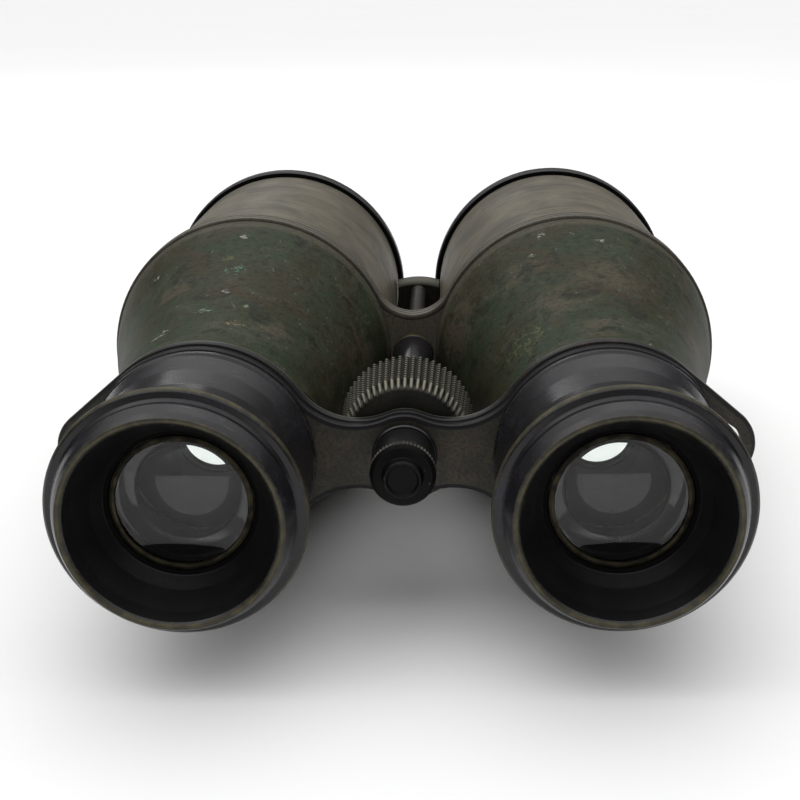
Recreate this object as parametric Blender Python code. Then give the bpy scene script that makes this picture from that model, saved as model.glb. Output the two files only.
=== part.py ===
"""Antique twin-barrel field glass with a central focusing wheel.

The glass lies on its two middle rings and its two objective rims, and looks along +Y with its
eyecups towards -Y.  Sizes are written in millimetres in the optical frame: X to the right,
Y forward along the two optical axes, Z up, with the origin midway between the axes in the
plane of the eyecup flanges.  place() shifts that frame so the glass rests on Z = 0, centred on
the origin.
"""

import math

import bmesh
import bpy
from mathutils import Vector

MM = 0.001

# ---------------------------------------------------------------- overall layout
AXIS_SPACING = 64.0          # distance between the two optical axes
AXIS_X = AXIS_SPACING / 2.0
SPINDLE_Z = 0.6              # the focusing spindle sits a little above the axes
GAP = 0.3                    # working gap between neighbouring pieces
EDGE = 0.3                   # small bevel on plate edges
SEG = 40                     # facets round a barrel
SEG_GLASS = 32               # facets round a lens
SEG_SMALL = 24               # facets round the small turned pieces

LIP_Y = -4.75                # the lip of the eyecups, the nearest point
FRONT_Y = 141.9              # front face of the objective rims
MAX_RADIUS = 28.15           # middle rings and objective rims, on which the glass lies
Y_MIDDLE = (LIP_Y + FRONT_Y) / 2.0

# ---------------------------------------------------------------- eyepiece carriage
EYECUP_BASE_Y = 21.3
BRIDGE_Y0 = 21.6             # moving eyepiece bridge
BRIDGE_Y1 = 23.4
BRIDGE_RING_R = 18.2
TUBE_BORE_R = 16.2           # bores that the draw tubes pass through
DRAW_TUBE_R = 15.9
DRAW_TUBE_WALL = 0.7
DRAW_TUBE_END_Y = 58.0
SPINDLE_R = 2.4
SPINDLE_Y0 = 13.6
SPINDLE_Y1 = 72.0
SPINDLE_BEVEL = 0.6
KNOB_R = 5.15
KNOB_BODY_R = 4.9
KNOB_BOSS_R = 3.0
KNOB_Y0 = 10.4
KNOB_SHOULDER_Y = 12.0
KNOB_Y1 = 20.2
WASHER_R = 5.2
WASHER_Y0 = 20.5
WASHER_Y1 = 21.3

# ---------------------------------------------------------------- eyecups and eye lenses
CUP_BASE_R = 18.0
CUP_SHELL_R = 15.2           # inside of the thin outer wall
CUP_POCKET_Y = 1.2           # how far forward the space between bowl and wall reaches
CUP_WELL_WALL_R = 11.9       # outside of the well that holds the lens
CUP_SEAT_Y0 = 8.6            # the thin shelf that the eye lens rests on
CUP_SEAT_Y1 = 9.6
CUP_SEAT_R = 8.1
CUP_WELL_R = 10.7
CUP_WELL_Y = 3.6
EYE_RING_R0 = 9.6
EYE_RING_R1 = 10.4
EYE_RING_Y1 = 4.1
EYE_LENS_R = 10.3
EYE_LENS_Y0 = 4.4
EYE_LENS_Y1 = 8.3
EYE_LENS_CURVE = 38.0        # radius of both hollow faces

# ---------------------------------------------------------------- plates by the wheel
REAR_Y0 = 23.7               # fixed rear plate
REAR_Y1 = 25.5
REAR_RING_R = 18.5
LOBE_R = 7.07                # round middle of both plates
LOBE_Z = 0.0
WAIST_R = 11.27              # hollow between the lobe and each ring
SLEEVE_R = 16.8
SLEEVE_Y1 = 37.0
EAR_NOSE_X = 17.5            # strap ear: centre of its rounded nose, out from the optical axis
EAR_NOSE_Z = 0.9
EAR_NOSE_R = 6.5
EAR_STRIP = 2.25             # width of metal round the strap slot
EAR_SLOT_DEPTH = 2.6         # straight part of the slot's sides
EAR_SLOT_WALL = 0.4          # metal left between the slot and the ring

# ---------------------------------------------------------------- focusing wheel
WHEEL_Y0 = 25.8
WHEEL_BREAK_Y = 28.8         # where the steep rim by the face meets the long taper
WHEEL_Y1 = 39.0
WHEEL_FACE_R = 9.3
WHEEL_RIM_R = 9.65
WHEEL_BREAK_R = 10.65
WHEEL_R = 11.35
WHEEL_TEETH = 60
TOOTH_DEPTH = 0.45
WHEEL_BORE_R = 4.9
WHEEL_PAN_Y = 30.0           # floor of the hollow in the wheel's far side
WHEEL_PAN_R0 = 6.3
WHEEL_PAN_R1 = 9.4
HUB_R = 4.1
HUB_BORE_R = 2.9

# ---------------------------------------------------------------- barrels
SHELL_Y0 = 25.8
SHELL_R0 = 18.2
SHELL_HEADING = 2.0          # degrees that the wall already leans out by the wheel
SHELL_TURN_Y = 67.0          # here the hollow flare turns into the round shoulder
SHELL_TURN_R = 25.1
SHELL_Y1 = 77.7
SHELL_R1 = 27.55
SHELL_WALL = 0.7
MIDDLE_Y0 = 78.0
MIDDLE_Y1 = 82.2
MIDDLE_GROOVES = (79.3, 80.9)
MIDDLE_GROOVE_DEPTH = 0.35
MIDDLE_BORE_R = 25.7
VALLEY_R = 7.7               # round valley between the two middle rings
FRONT_TUBE_R = 26.9
FRONT_TUBE_WALL = 1.2
FRONT_TUBE_Y0 = 82.5
FRONT_TUBE_Y1 = 137.9
FRONT_BRIDGE_Y0 = 128.0
FRONT_BRIDGE_Y1 = 131.6
FRONT_BRIDGE_HALF_HEIGHT = 3.2
FRONT_BRIDGE_CROWN = 0.8     # rise of its top and bottom towards the middle
TIE_ROD_R = 2.0

# ---------------------------------------------------------------- objectives
RIM_Y0 = 138.2
RIM_BORE_R = 25.6
CELL_Y0 = 116.0              # long thin cell that carries the objective inside the tube
CELL_R = 25.4
CELL_BORE_R = 24.4
RIM_LIP_R = 23.4
OBJECTIVE_R = 24.1
OBJECTIVE_Y0 = 132.3
OBJECTIVE_Y1 = 138.3
OBJECTIVE_CURVE = 170.0      # radius of both bulging faces
RETAINER_Y0 = 127.3
RETAINER_Y1 = 131.8
RETAINER_BORE_R = 22.9


# ---------------------------------------------------------------- helpers
def clear_scene():
    """Removes every object that is in the scene."""
    for item in list(bpy.data.objects):
        bpy.data.objects.remove(item, do_unlink=True)


def place(x, y, z):
    """World position in metres of a point given in optical-frame millimetres."""
    return Vector((x, y - Y_MIDDLE, z + MAX_RADIUS)) * MM


def make_material(name, colour, roughness, metallic):
    """One plain Principled material."""
    material = bpy.data.materials.new(name)
    material.use_nodes = True
    shader = material.node_tree.nodes["Principled BSDF"]
    shader.inputs["Base Color"].default_value = (colour[0], colour[1], colour[2], 1.0)
    shader.inputs["Roughness"].default_value = roughness
    shader.inputs["Metallic"].default_value = metallic
    return material


def finish(name, data, origin, look, smooth_angle=32.0):
    """Turns a bmesh drawn in millimetres about `origin` into a named scene object."""
    bmesh.ops.remove_doubles(data, verts=data.verts, dist=0.0005)
    bmesh.ops.recalc_face_normals(data, faces=data.faces)
    bmesh.ops.scale(data, vec=(MM, MM, MM), verts=data.verts)
    mesh = bpy.data.meshes.new(name)
    data.to_mesh(mesh)
    data.free()
    mesh.shade_smooth()
    mesh.set_sharp_from_angle(angle=math.radians(smooth_angle))
    mesh.materials.append(make_material(name + "_finish", *look))
    item = bpy.data.objects.new(name, mesh)
    bpy.context.scene.collection.objects.link(item)
    item.location = place(*origin)


def turned(name, profile, origin, look, segments=SEG, smooth_angle=32.0):
    """A piece turned about the Y axis through `origin`; profile is a list of (y, radius).

    A profile that starts and ends on the axis makes a solid piece, any other one is closed on
    itself and makes a ring.
    """
    data = bmesh.new()
    ring = [data.verts.new((radius, y - origin[1], 0.0)) for y, radius in profile]
    edges = [data.edges.new(pair) for pair in zip(ring, ring[1:])]
    if profile[0][1] > 0.0:
        edges.append(data.edges.new((ring[-1], ring[0])))
    bmesh.ops.spin(
        data, geom=ring + edges, cent=(0.0, 0.0, 0.0), axis=(0.0, 1.0, 0.0),
        angle=math.tau, steps=segments, use_merge=True,
    )
    finish(name, data, origin, look, smooth_angle)


def arc(centre, radius, start, end, steps):
    """Points of an arc in the X-Z plane; angles in radians, both ends included."""
    points = []
    for i in range(steps + 1):
        angle = start + (end - start) * i / steps
        points.append((centre[0] + radius * math.cos(angle), centre[1] + radius * math.sin(angle)))
    return points


def circle(centre, radius, count):
    """Points of a full circle in the X-Z plane."""
    return arc(centre, radius, 0.0, math.tau * (count - 1) / count, count - 1)


def bend(start, heading, end, steps):
    """An arc from start to end that leaves start at the given heading.

    Points are (y, radius) and headings are radians from +Y towards growing radius.  Returns
    the points after start, end included, and the heading at end.
    """
    chord = math.dist(start, end)
    half_turn = math.atan2(end[1] - start[1], end[0] - start[0]) - heading
    radius = chord / (2.0 * math.sin(half_turn))
    points = []
    for i in range(1, steps + 1):
        angle = heading + 2.0 * half_turn * i / steps
        points.append((start[0] + radius * (math.sin(angle) - math.sin(heading)),
                       start[1] + radius * (math.cos(heading) - math.cos(angle))))
    return points, heading + 2.0 * half_turn


def fill_plane(data, loops, y):
    """Fills the flat region between an outer loop of vertices and its holes."""
    edges = []
    for loop in loops:
        for a, b in zip(loop, loop[1:] + loop[:1]):
            edges.append(data.edges.get((a, b)) or data.edges.new((a, b)))
    bmesh.ops.triangle_fill(data, use_beauty=True, use_dissolve=False, edges=edges,
                            normal=(0.0, y, 0.0))


def join_loops(data, near, far):
    """Skins two closed loops of equal length with quads."""
    for i in range(len(near)):
        j = (i + 1) % len(near)
        data.faces.new((near[i], near[j], far[j], far[i]))


def lofted_plate(name, outline, stations, holes, look):
    """A plate whose edge is shaped along Y.

    outline(offset) gives the outer loop pushed outwards by `offset`; stations are
    (y, offset) from the near face to the far one; holes are loops of (x, z) points.
    """
    data = bmesh.new()
    start = stations[0][0]

    def loop_at(points, y):
        """New vertices for a loop of (x, z) points."""
        return [data.verts.new((x, y - start, z)) for x, z in points]

    walls = [loop_at(outline(offset), y) for y, offset in stations]
    for near, far in zip(walls, walls[1:]):
        join_loops(data, near, far)
    ends = [[walls[0]], [walls[-1]]]
    for hole in holes:
        pair = [loop_at(hole, y) for y in (start, stations[-1][0])]
        join_loops(data, *pair)
        ends[0].append(pair[0])
        ends[1].append(pair[1])
    fill_plane(data, ends[0], -1.0)
    fill_plane(data, ends[1], 1.0)
    finish(name, data, (0.0, start, 0.0), look)


def lens(name, axis, radius, near_y, far_y, curve, sense):
    """A glass with two equal spherical faces: sense +1 bulges, -1 is hollow.

    near_y and far_y are where the two faces meet the edge of the glass.
    """
    def sag(r):
        """Depth of the spherical face at radius r, measured from its rim."""
        return math.sqrt(curve * curve - r * r) - math.sqrt(curve * curve - radius * radius)

    radii = [radius * k / 3.0 for k in range(4)]
    far = [(far_y + sense * sag(r), r) for r in radii]
    near = [(near_y - sense * sag(r), r) for r in reversed(radii)]
    turned(name, far + near, axis, GLASS, SEG_GLASS)


# ---------------------------------------------------------------- outlines of the plates
def lobed_outline(ring_r, eared):
    """Outline of a plate by the wheel: two rings, a round lobe between and hollow waists.

    An eared plate has each ring drawn out into a rounded strap ear.
    """
    reach_lobe = LOBE_R + WAIST_R
    reach_ring = ring_r + WAIST_R
    waist_x = (reach_lobe ** 2 - reach_ring ** 2 + AXIS_X ** 2) / (2.0 * AXIS_X)
    waist_z = math.sqrt(reach_lobe ** 2 - waist_x ** 2)
    lobe_turn = math.atan2(waist_z, waist_x)
    ring_turn = math.atan2(waist_z, waist_x - AXIS_X)

    def outline(offset):
        """The loop, anticlockwise from the bottom of the lobe."""
        half = arc((0.0, LOBE_Z), LOBE_R + offset, -math.pi / 2.0, -lobe_turn, 4)[1:]
        half += arc((waist_x, LOBE_Z - waist_z), WAIST_R - offset, math.pi - lobe_turn,
                    math.pi - ring_turn, 7)[1:-1]
        if eared:
            tangent = math.acos((ring_r - EAR_NOSE_R) / EAR_NOSE_X)
            half += arc((AXIS_X, 0.0), ring_r + offset, -ring_turn, -tangent, 10)
            half += arc((AXIS_X + EAR_NOSE_X, EAR_NOSE_Z), EAR_NOSE_R + offset,
                        -tangent, tangent, 10)
            half += arc((AXIS_X, 0.0), ring_r + offset, tangent, ring_turn, 10)
        else:
            half += arc((AXIS_X, 0.0), ring_r + offset, -ring_turn, ring_turn, 28)
        half += arc((waist_x, LOBE_Z + waist_z), WAIST_R - offset, math.pi + ring_turn,
                    math.pi + lobe_turn, 7)[1:-1]
        half += arc((0.0, LOBE_Z), LOBE_R + offset, lobe_turn, math.pi / 2.0, 4)[:-1]
        other = [(-x, z) for x, z in reversed(half)]
        bottom = (0.0, LOBE_Z - LOBE_R - offset)
        top = (0.0, LOBE_Z + LOBE_R + offset)
        return [bottom] + half + [top] + other

    return outline


def valley_outline(offset):
    """Outline of the middle bridge: two wide rings joined by a web with round valleys."""
    reach = MAX_RADIUS + VALLEY_R
    height = math.sqrt(reach * reach - AXIS_X * AXIS_X)
    turn = math.atan2(height, AXIS_X)
    span = math.pi - turn
    quarter = math.pi / 2.0
    ring = arc((AXIS_X, 0.0), MAX_RADIUS + offset, -span, -quarter, 6)
    ring += arc((AXIS_X, 0.0), MAX_RADIUS + offset, -quarter, quarter, 20)[1:-1]
    ring += arc((AXIS_X, 0.0), MAX_RADIUS + offset, quarter, span, 6)
    half = ring + arc((0.0, height), VALLEY_R - offset, -turn, turn - math.pi, 8)[1:-1]
    return half + [(-x, -z) for x, z in half]


def bar_outline(offset):
    """Outline of the front bridge: a bar whose hollow ends follow the two front tubes."""
    side_r = FRONT_TUBE_R + GAP
    half_height = FRONT_BRIDGE_HALF_HEIGHT + offset
    lean = math.asin(half_height / side_r)
    half = arc((AXIS_X, 0.0), side_r, math.pi + lean, math.pi - lean, 6)
    reach = half[-1][0]
    crown_r = (reach ** 2 + FRONT_BRIDGE_CROWN ** 2) / (2.0 * FRONT_BRIDGE_CROWN)
    spread = math.asin(reach / crown_r)
    half += arc((0.0, half_height + FRONT_BRIDGE_CROWN - crown_r), crown_r,
                math.pi / 2.0 - spread, math.pi / 2.0 + spread, 6)[1:-1]
    return half + [(-x, -z) for x, z in half]


def strap_slot(side):
    """Loop of the strap slot in one ear, between the ring and the strip of metal."""
    tangent = math.acos((REAR_RING_R - EAR_NOSE_R) / EAR_NOSE_X)
    loop = arc((EAR_NOSE_X, EAR_NOSE_Z), EAR_NOSE_R - EAR_STRIP, -tangent, tangent, 8)
    corners = []
    for (x, z), turn in ((loop[-1], 1.0), (loop[0], -1.0)):
        corners.append(math.atan2(z + turn * EAR_SLOT_DEPTH * math.cos(tangent),
                                  x - EAR_SLOT_DEPTH * math.sin(tangent)))
    loop += arc((0.0, 0.0), REAR_RING_R + EAR_SLOT_WALL, corners[0], corners[1], 6)
    return [(side * (AXIS_X + x), z) for x, z in loop]


def bell_profile():
    """Closed (y, radius) profile of a barrel shell: a hollow flare, then a round shoulder."""
    walls = []
    for depth in (0.0, SHELL_WALL):
        start = (SHELL_Y0, SHELL_R0 - depth)
        turn = (SHELL_TURN_Y, SHELL_TURN_R - depth)
        flare, heading = bend(start, math.radians(SHELL_HEADING), turn, 8)
        shoulder, _ = bend(turn, heading, (SHELL_Y1, SHELL_R1 - depth), 3)
        walls.append([start] + flare + shoulder)
    return walls[0] + walls[1][::-1]


# ---------------------------------------------------------------- finishes
BLACK_LACQUER = ((0.012, 0.012, 0.014), 0.25, 0.0)
DARK_BRASS = ((0.10, 0.095, 0.075), 0.42, 0.85)
GREEN_PAINT = ((0.062, 0.072, 0.048), 0.5, 0.25)
BROWN_METAL = ((0.13, 0.118, 0.10), 0.38, 0.7)
WORN_BRASS = ((0.30, 0.25, 0.13), 0.4, 1.0)
STEEL = ((0.28, 0.27, 0.25), 0.35, 1.0)
GLASS = ((0.85, 0.9, 0.88), 0.03, 0.0)


# ---------------------------------------------------------------- fixed frame
def build_frame():
    """Everything that stays put: barrels, plates, front tubes and objectives."""
    sides = (-1.0, 1.0)
    holes = [circle((side * AXIS_X, 0.0), TUBE_BORE_R, SEG) for side in sides]
    holes += [circle((0.0, SPINDLE_Z), HUB_BORE_R, SEG_SMALL)]
    holes += [strap_slot(side) for side in sides]
    lofted_plate(
        "rear_plate", lobed_outline(REAR_RING_R, True),
        [(REAR_Y0, -EDGE), (REAR_Y0 + EDGE, 0.0), (REAR_Y1 - EDGE, 0.0), (REAR_Y1, -EDGE)],
        holes, DARK_BRASS,
    )
    stations = [(MIDDLE_Y0, -0.5), (MIDDLE_Y0 + 0.4, 0.0)]
    for groove_y in MIDDLE_GROOVES:
        stations += [(groove_y - EDGE, 0.0), (groove_y, -MIDDLE_GROOVE_DEPTH),
                     (groove_y + EDGE, 0.0)]
    stations += [(MIDDLE_Y1 - 0.4, 0.0), (MIDDLE_Y1, -0.5)]
    lofted_plate(
        "middle_bridge", valley_outline, stations,
        [circle((side * AXIS_X, 0.0), MIDDLE_BORE_R, SEG) for side in sides], DARK_BRASS,
    )
    lofted_plate(
        "front_bridge", bar_outline,
        [(FRONT_BRIDGE_Y0, -0.4), (FRONT_BRIDGE_Y0 + 0.4, 0.0), (FRONT_BRIDGE_Y1 - 0.4, 0.0),
         (FRONT_BRIDGE_Y1, -0.4)],
        [], DARK_BRASS,
    )
    rod_y0 = MIDDLE_Y1 + GAP
    rod_y1 = FRONT_BRIDGE_Y0 - GAP
    turned(
        "tie_rod", [(rod_y0, 0.0), (rod_y0, TIE_ROD_R), (rod_y1, TIE_ROD_R), (rod_y1, 0.0)],
        (0.0, rod_y0, SPINDLE_Z), DARK_BRASS, SEG_SMALL,
    )
    hub_y0 = WHEEL_Y1 + GAP
    hub_y1 = MIDDLE_Y0 - GAP
    turned(
        "hub_column",
        [(hub_y0, HUB_BORE_R), (hub_y0, HUB_R), (hub_y1, HUB_R), (hub_y1, HUB_BORE_R)],
        (0.0, hub_y0, SPINDLE_Z), BLACK_LACQUER, SEG_SMALL,
    )
    for label, side in (("left", -1.0), ("right", 1.0)):
        build_barrel(label, (side * AXIS_X, 0.0, 0.0))


def build_barrel(label, axis):
    """One fixed barrel about its optical axis, from the guide sleeve to the objective."""
    turned(label + "_barrel_shell", bell_profile(), axis, GREEN_PAINT)
    sleeve_y0 = REAR_Y1 + GAP
    turned(
        label + "_guide_sleeve",
        [(sleeve_y0, TUBE_BORE_R), (sleeve_y0, SLEEVE_R), (SLEEVE_Y1, SLEEVE_R),
         (SLEEVE_Y1, TUBE_BORE_R)],
        axis, DARK_BRASS,
    )
    tube_bore = FRONT_TUBE_R - FRONT_TUBE_WALL
    turned(
        label + "_front_tube",
        [(FRONT_TUBE_Y0, tube_bore), (FRONT_TUBE_Y0, FRONT_TUBE_R),
         (FRONT_TUBE_Y1, FRONT_TUBE_R), (FRONT_TUBE_Y1, tube_bore)],
        axis, BROWN_METAL,
    )
    turned(
        label + "_objective_rim",
        [(FRONT_Y, RIM_BORE_R), (FRONT_Y, MAX_RADIUS - 0.35), (FRONT_Y - 0.35, MAX_RADIUS),
         (RIM_Y0 + 0.3, MAX_RADIUS), (RIM_Y0, MAX_RADIUS - 0.3), (RIM_Y0, CELL_R),
         (CELL_Y0, CELL_R), (CELL_Y0, CELL_BORE_R), (RIM_Y0 + 0.4, CELL_BORE_R),
         (RIM_Y0 + 0.4, RIM_LIP_R), (RIM_Y0 + 1.8, RIM_LIP_R + 0.2)],
        axis, BLACK_LACQUER,
    )
    lens(label + "_objective_lens", axis, OBJECTIVE_R, OBJECTIVE_Y0, OBJECTIVE_Y1,
         OBJECTIVE_CURVE, 1.0)
    turned(
        label + "_objective_retainer",
        [(RETAINER_Y0, RETAINER_BORE_R), (RETAINER_Y0, OBJECTIVE_R), (RETAINER_Y1, OBJECTIVE_R),
         (RETAINER_Y1, RETAINER_BORE_R)],
        axis, BLACK_LACQUER,
    )


# ---------------------------------------------------------------- focusing wheel
def build_wheel():
    """The knurled wheel, toothed along its length, and the threaded bush in its bore."""
    stations = [
        (WHEEL_Y0, WHEEL_FACE_R, 0.0),
        (WHEEL_Y0 + EDGE, WHEEL_RIM_R, 0.0),
        (WHEEL_BREAK_Y, WHEEL_BREAK_R, TOOTH_DEPTH),
        (WHEEL_Y1 - EDGE, WHEEL_R, TOOTH_DEPTH),
        (WHEEL_Y1, WHEEL_R - TOOTH_DEPTH, 0.0),
        (WHEEL_Y1, WHEEL_PAN_R1, 0.0),
        (WHEEL_PAN_Y, WHEEL_PAN_R1 - EDGE, 0.0),
        (WHEEL_PAN_Y, WHEEL_PAN_R0, 0.0),
        (WHEEL_Y1, WHEEL_PAN_R0, 0.0),
        (WHEEL_Y1, WHEEL_BORE_R, 0.0),
        (WHEEL_Y0, WHEEL_BORE_R, 0.0),
    ]
    data = bmesh.new()
    count = 2 * WHEEL_TEETH
    loops = []
    for y, tip, depth in stations:
        loop = []
        for i in range(count):
            radius = tip - depth * (i % 2)
            angle = math.tau * i / count
            loop.append(data.verts.new(
                (radius * math.cos(angle), y - WHEEL_Y0, radius * math.sin(angle))))
        loops.append(loop)
    for near, far in zip(loops, loops[1:] + loops[:1]):
        join_loops(data, near, far)
    finish("focus_wheel", data, (0.0, WHEEL_Y0, SPINDLE_Z), DARK_BRASS, 20.0)
    bush_y0 = WHEEL_Y0 + GAP
    bush_y1 = WHEEL_Y1 - GAP
    bore_r = SPINDLE_R + GAP
    turned(
        "wheel_bush",
        [(bush_y0, bore_r), (bush_y0, WHEEL_BORE_R - GAP), (bush_y1, WHEEL_BORE_R - GAP),
         (bush_y1, bore_r)],
        (0.0, WHEEL_Y0, SPINDLE_Z), WORN_BRASS, SEG_SMALL,
    )


# ---------------------------------------------------------------- eyepiece carriage
def build_carriage():
    """The sliding bridge with its draw tubes, eyecups, eye lenses and spindle."""
    bore_r = SPINDLE_R + GAP
    holes = [circle((side * AXIS_X, 0.0), TUBE_BORE_R, SEG) for side in (-1.0, 1.0)]
    holes += [circle((0.0, SPINDLE_Z), bore_r, SEG_SMALL)]
    lofted_plate(
        "eyepiece_bridge", lobed_outline(BRIDGE_RING_R, False),
        [(BRIDGE_Y0, -EDGE), (BRIDGE_Y0 + EDGE, 0.0), (BRIDGE_Y1 - EDGE, 0.0),
         (BRIDGE_Y1, -EDGE)],
        holes, DARK_BRASS,
    )
    spindle_axis = (0.0, BRIDGE_Y0, SPINDLE_Z)
    turned(
        "spindle",
        [(SPINDLE_Y0, 0.0), (SPINDLE_Y0, SPINDLE_R), (SPINDLE_Y1 - SPINDLE_BEVEL, SPINDLE_R),
         (SPINDLE_Y1, SPINDLE_R - SPINDLE_BEVEL), (SPINDLE_Y1, 0.0)],
        spindle_axis, STEEL, SEG_SMALL,
    )
    turned(
        "spindle_knob",
        [(KNOB_Y0, 0.0), (KNOB_Y0, KNOB_BOSS_R - EDGE), (KNOB_Y0 + EDGE, KNOB_BOSS_R),
         (KNOB_SHOULDER_Y, KNOB_BOSS_R), (KNOB_SHOULDER_Y + 0.4, KNOB_R - 0.45),
         (KNOB_SHOULDER_Y + 0.8, KNOB_R), (KNOB_SHOULDER_Y + 2.2, KNOB_R),
         (KNOB_SHOULDER_Y + 2.5, KNOB_BODY_R), (KNOB_Y1, KNOB_BODY_R), (KNOB_Y1, bore_r),
         (SPINDLE_Y0 - GAP, bore_r), (SPINDLE_Y0 - GAP, 0.0)],
        spindle_axis, BLACK_LACQUER, SEG_SMALL,
    )
    turned(
        "knob_washer",
        [(WASHER_Y0, bore_r), (WASHER_Y0, WASHER_R - 0.2), (WASHER_Y0 + 0.2, WASHER_R),
         (WASHER_Y1, WASHER_R), (WASHER_Y1, bore_r)],
        spindle_axis, DARK_BRASS, SEG_SMALL,
    )
    for label, side in (("left", -1.0), ("right", 1.0)):
        build_eyepiece(label, (side * AXIS_X, 0.0, 0.0))


def build_eyepiece(label, axis):
    """One draw tube with its eyecup and eye lens."""
    tube_bore = DRAW_TUBE_R - DRAW_TUBE_WALL
    turned(
        label + "_draw_tube",
        [(BRIDGE_Y0, tube_bore), (BRIDGE_Y0, DRAW_TUBE_R), (DRAW_TUBE_END_Y, DRAW_TUBE_R),
         (DRAW_TUBE_END_Y, tube_bore)],
        axis, WORN_BRASS,
    )
    lip = [(LIP_Y, 15.7), (LIP_Y + 0.05, 16.05), (-3.6, 16.8), (-2.0, 17.4), (-1.0, 17.3)]
    flange = [(-0.6, 18.8), (-0.2, 19.07), (0.5, 19.07), (1.2, 17.4)]
    waist, _ = bend(flange[-1], math.radians(-12.9), (20.2, CUP_BASE_R - 0.1), 6)
    base = [(EYECUP_BASE_Y, CUP_BASE_R), (EYECUP_BASE_Y, CUP_SHELL_R)]
    pocket = [(CUP_POCKET_Y, CUP_SHELL_R), (CUP_WELL_Y + 1.2, CUP_WELL_WALL_R),
              (CUP_SEAT_Y1, CUP_WELL_WALL_R)]
    seat = [(CUP_SEAT_Y1, CUP_SEAT_R), (CUP_SEAT_Y0, CUP_SEAT_R), (CUP_SEAT_Y0, CUP_WELL_R),
            (CUP_WELL_Y, CUP_WELL_R)]
    bowl = [(1.2, 12.7), (-2.4, 14.4)]
    turned(label + "_eyecup", lip + flange + waist + base + pocket + seat + bowl, axis,
           BLACK_LACQUER, smooth_angle=50.0)
    middle_r = (EYE_RING_R0 + EYE_RING_R1) / 2.0
    turned(
        label + "_eye_lens_ring",
        [(CUP_WELL_Y, EYE_RING_R0), (CUP_WELL_Y - 0.1, middle_r), (CUP_WELL_Y, EYE_RING_R1),
         (EYE_RING_Y1, EYE_RING_R1), (EYE_RING_Y1, EYE_RING_R0)],
        axis, WORN_BRASS,
    )
    lens(label + "_eye_lens", axis, EYE_LENS_R, EYE_LENS_Y0, EYE_LENS_Y1, EYE_LENS_CURVE, -1.0)


clear_scene()
build_frame()
build_wheel()
build_carriage()
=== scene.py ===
"""Looks of an antique twin-barrel field glass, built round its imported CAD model.

The glass lies on its middle rings and its front rims with the eyecups towards -Y.  Sizes are in
millimetres in the optical frame: X to the right, Y forward along the two optical axes, Z up,
with the origin midway between the axes in the plane of the eyecup flanges.  OpticalFrame turns
them into the row frame's metres.
"""

from __future__ import annotations

import logging
import math
from dataclasses import dataclass, field
from enum import Enum
from typing import Callable, Sequence

import bmesh
import bpy
from mathutils import Matrix, Vector, noise


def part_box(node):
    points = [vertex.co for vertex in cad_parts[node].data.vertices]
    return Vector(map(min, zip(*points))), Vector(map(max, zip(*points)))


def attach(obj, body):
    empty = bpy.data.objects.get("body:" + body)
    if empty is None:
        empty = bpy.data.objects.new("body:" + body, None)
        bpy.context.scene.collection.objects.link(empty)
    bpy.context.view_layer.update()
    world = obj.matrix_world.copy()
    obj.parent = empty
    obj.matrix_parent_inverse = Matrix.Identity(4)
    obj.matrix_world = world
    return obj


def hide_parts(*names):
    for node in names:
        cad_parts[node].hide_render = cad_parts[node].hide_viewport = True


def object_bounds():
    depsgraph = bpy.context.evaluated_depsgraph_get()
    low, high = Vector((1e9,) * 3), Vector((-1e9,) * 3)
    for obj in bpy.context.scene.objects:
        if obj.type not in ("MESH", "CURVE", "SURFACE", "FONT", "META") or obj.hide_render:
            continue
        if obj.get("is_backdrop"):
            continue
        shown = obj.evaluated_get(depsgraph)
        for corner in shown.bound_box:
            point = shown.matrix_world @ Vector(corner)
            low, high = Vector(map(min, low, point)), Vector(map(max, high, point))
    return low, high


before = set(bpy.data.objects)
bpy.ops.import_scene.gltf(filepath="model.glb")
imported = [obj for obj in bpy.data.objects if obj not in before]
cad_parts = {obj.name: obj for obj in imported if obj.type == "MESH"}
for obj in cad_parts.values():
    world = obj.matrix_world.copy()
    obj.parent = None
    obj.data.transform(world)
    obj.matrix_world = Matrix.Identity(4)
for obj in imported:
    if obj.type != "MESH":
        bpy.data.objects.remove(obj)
CAD_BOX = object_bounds()

LOG = logging.getLogger("field_glass")
MM = 0.001
WEAR = "rubbed"
Colour = tuple[float, float, float]
Loop = list[tuple[float, float]]
Row = tuple[float, ...]
Socket = bpy.types.NodeSocket


class Body(Enum):
    """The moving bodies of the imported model."""

    FRAME = "frame"
    WHEEL = "wheel"
    EYEPIECES = "eyepieces"


class Side(Enum):
    """Which barrel of the pair, as the user sees it."""

    LEFT = -1.0
    RIGHT = 1.0

    @property
    def label(self) -> str:
        """The word that the piece names begin with."""
        return self.name.lower()

    @property
    def centre(self) -> tuple[float, float, float]:
        """Where its optical axis meets the flange plane."""
        return (self.value * OPTICS.axis_x, 0.0, 0.0)


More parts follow.
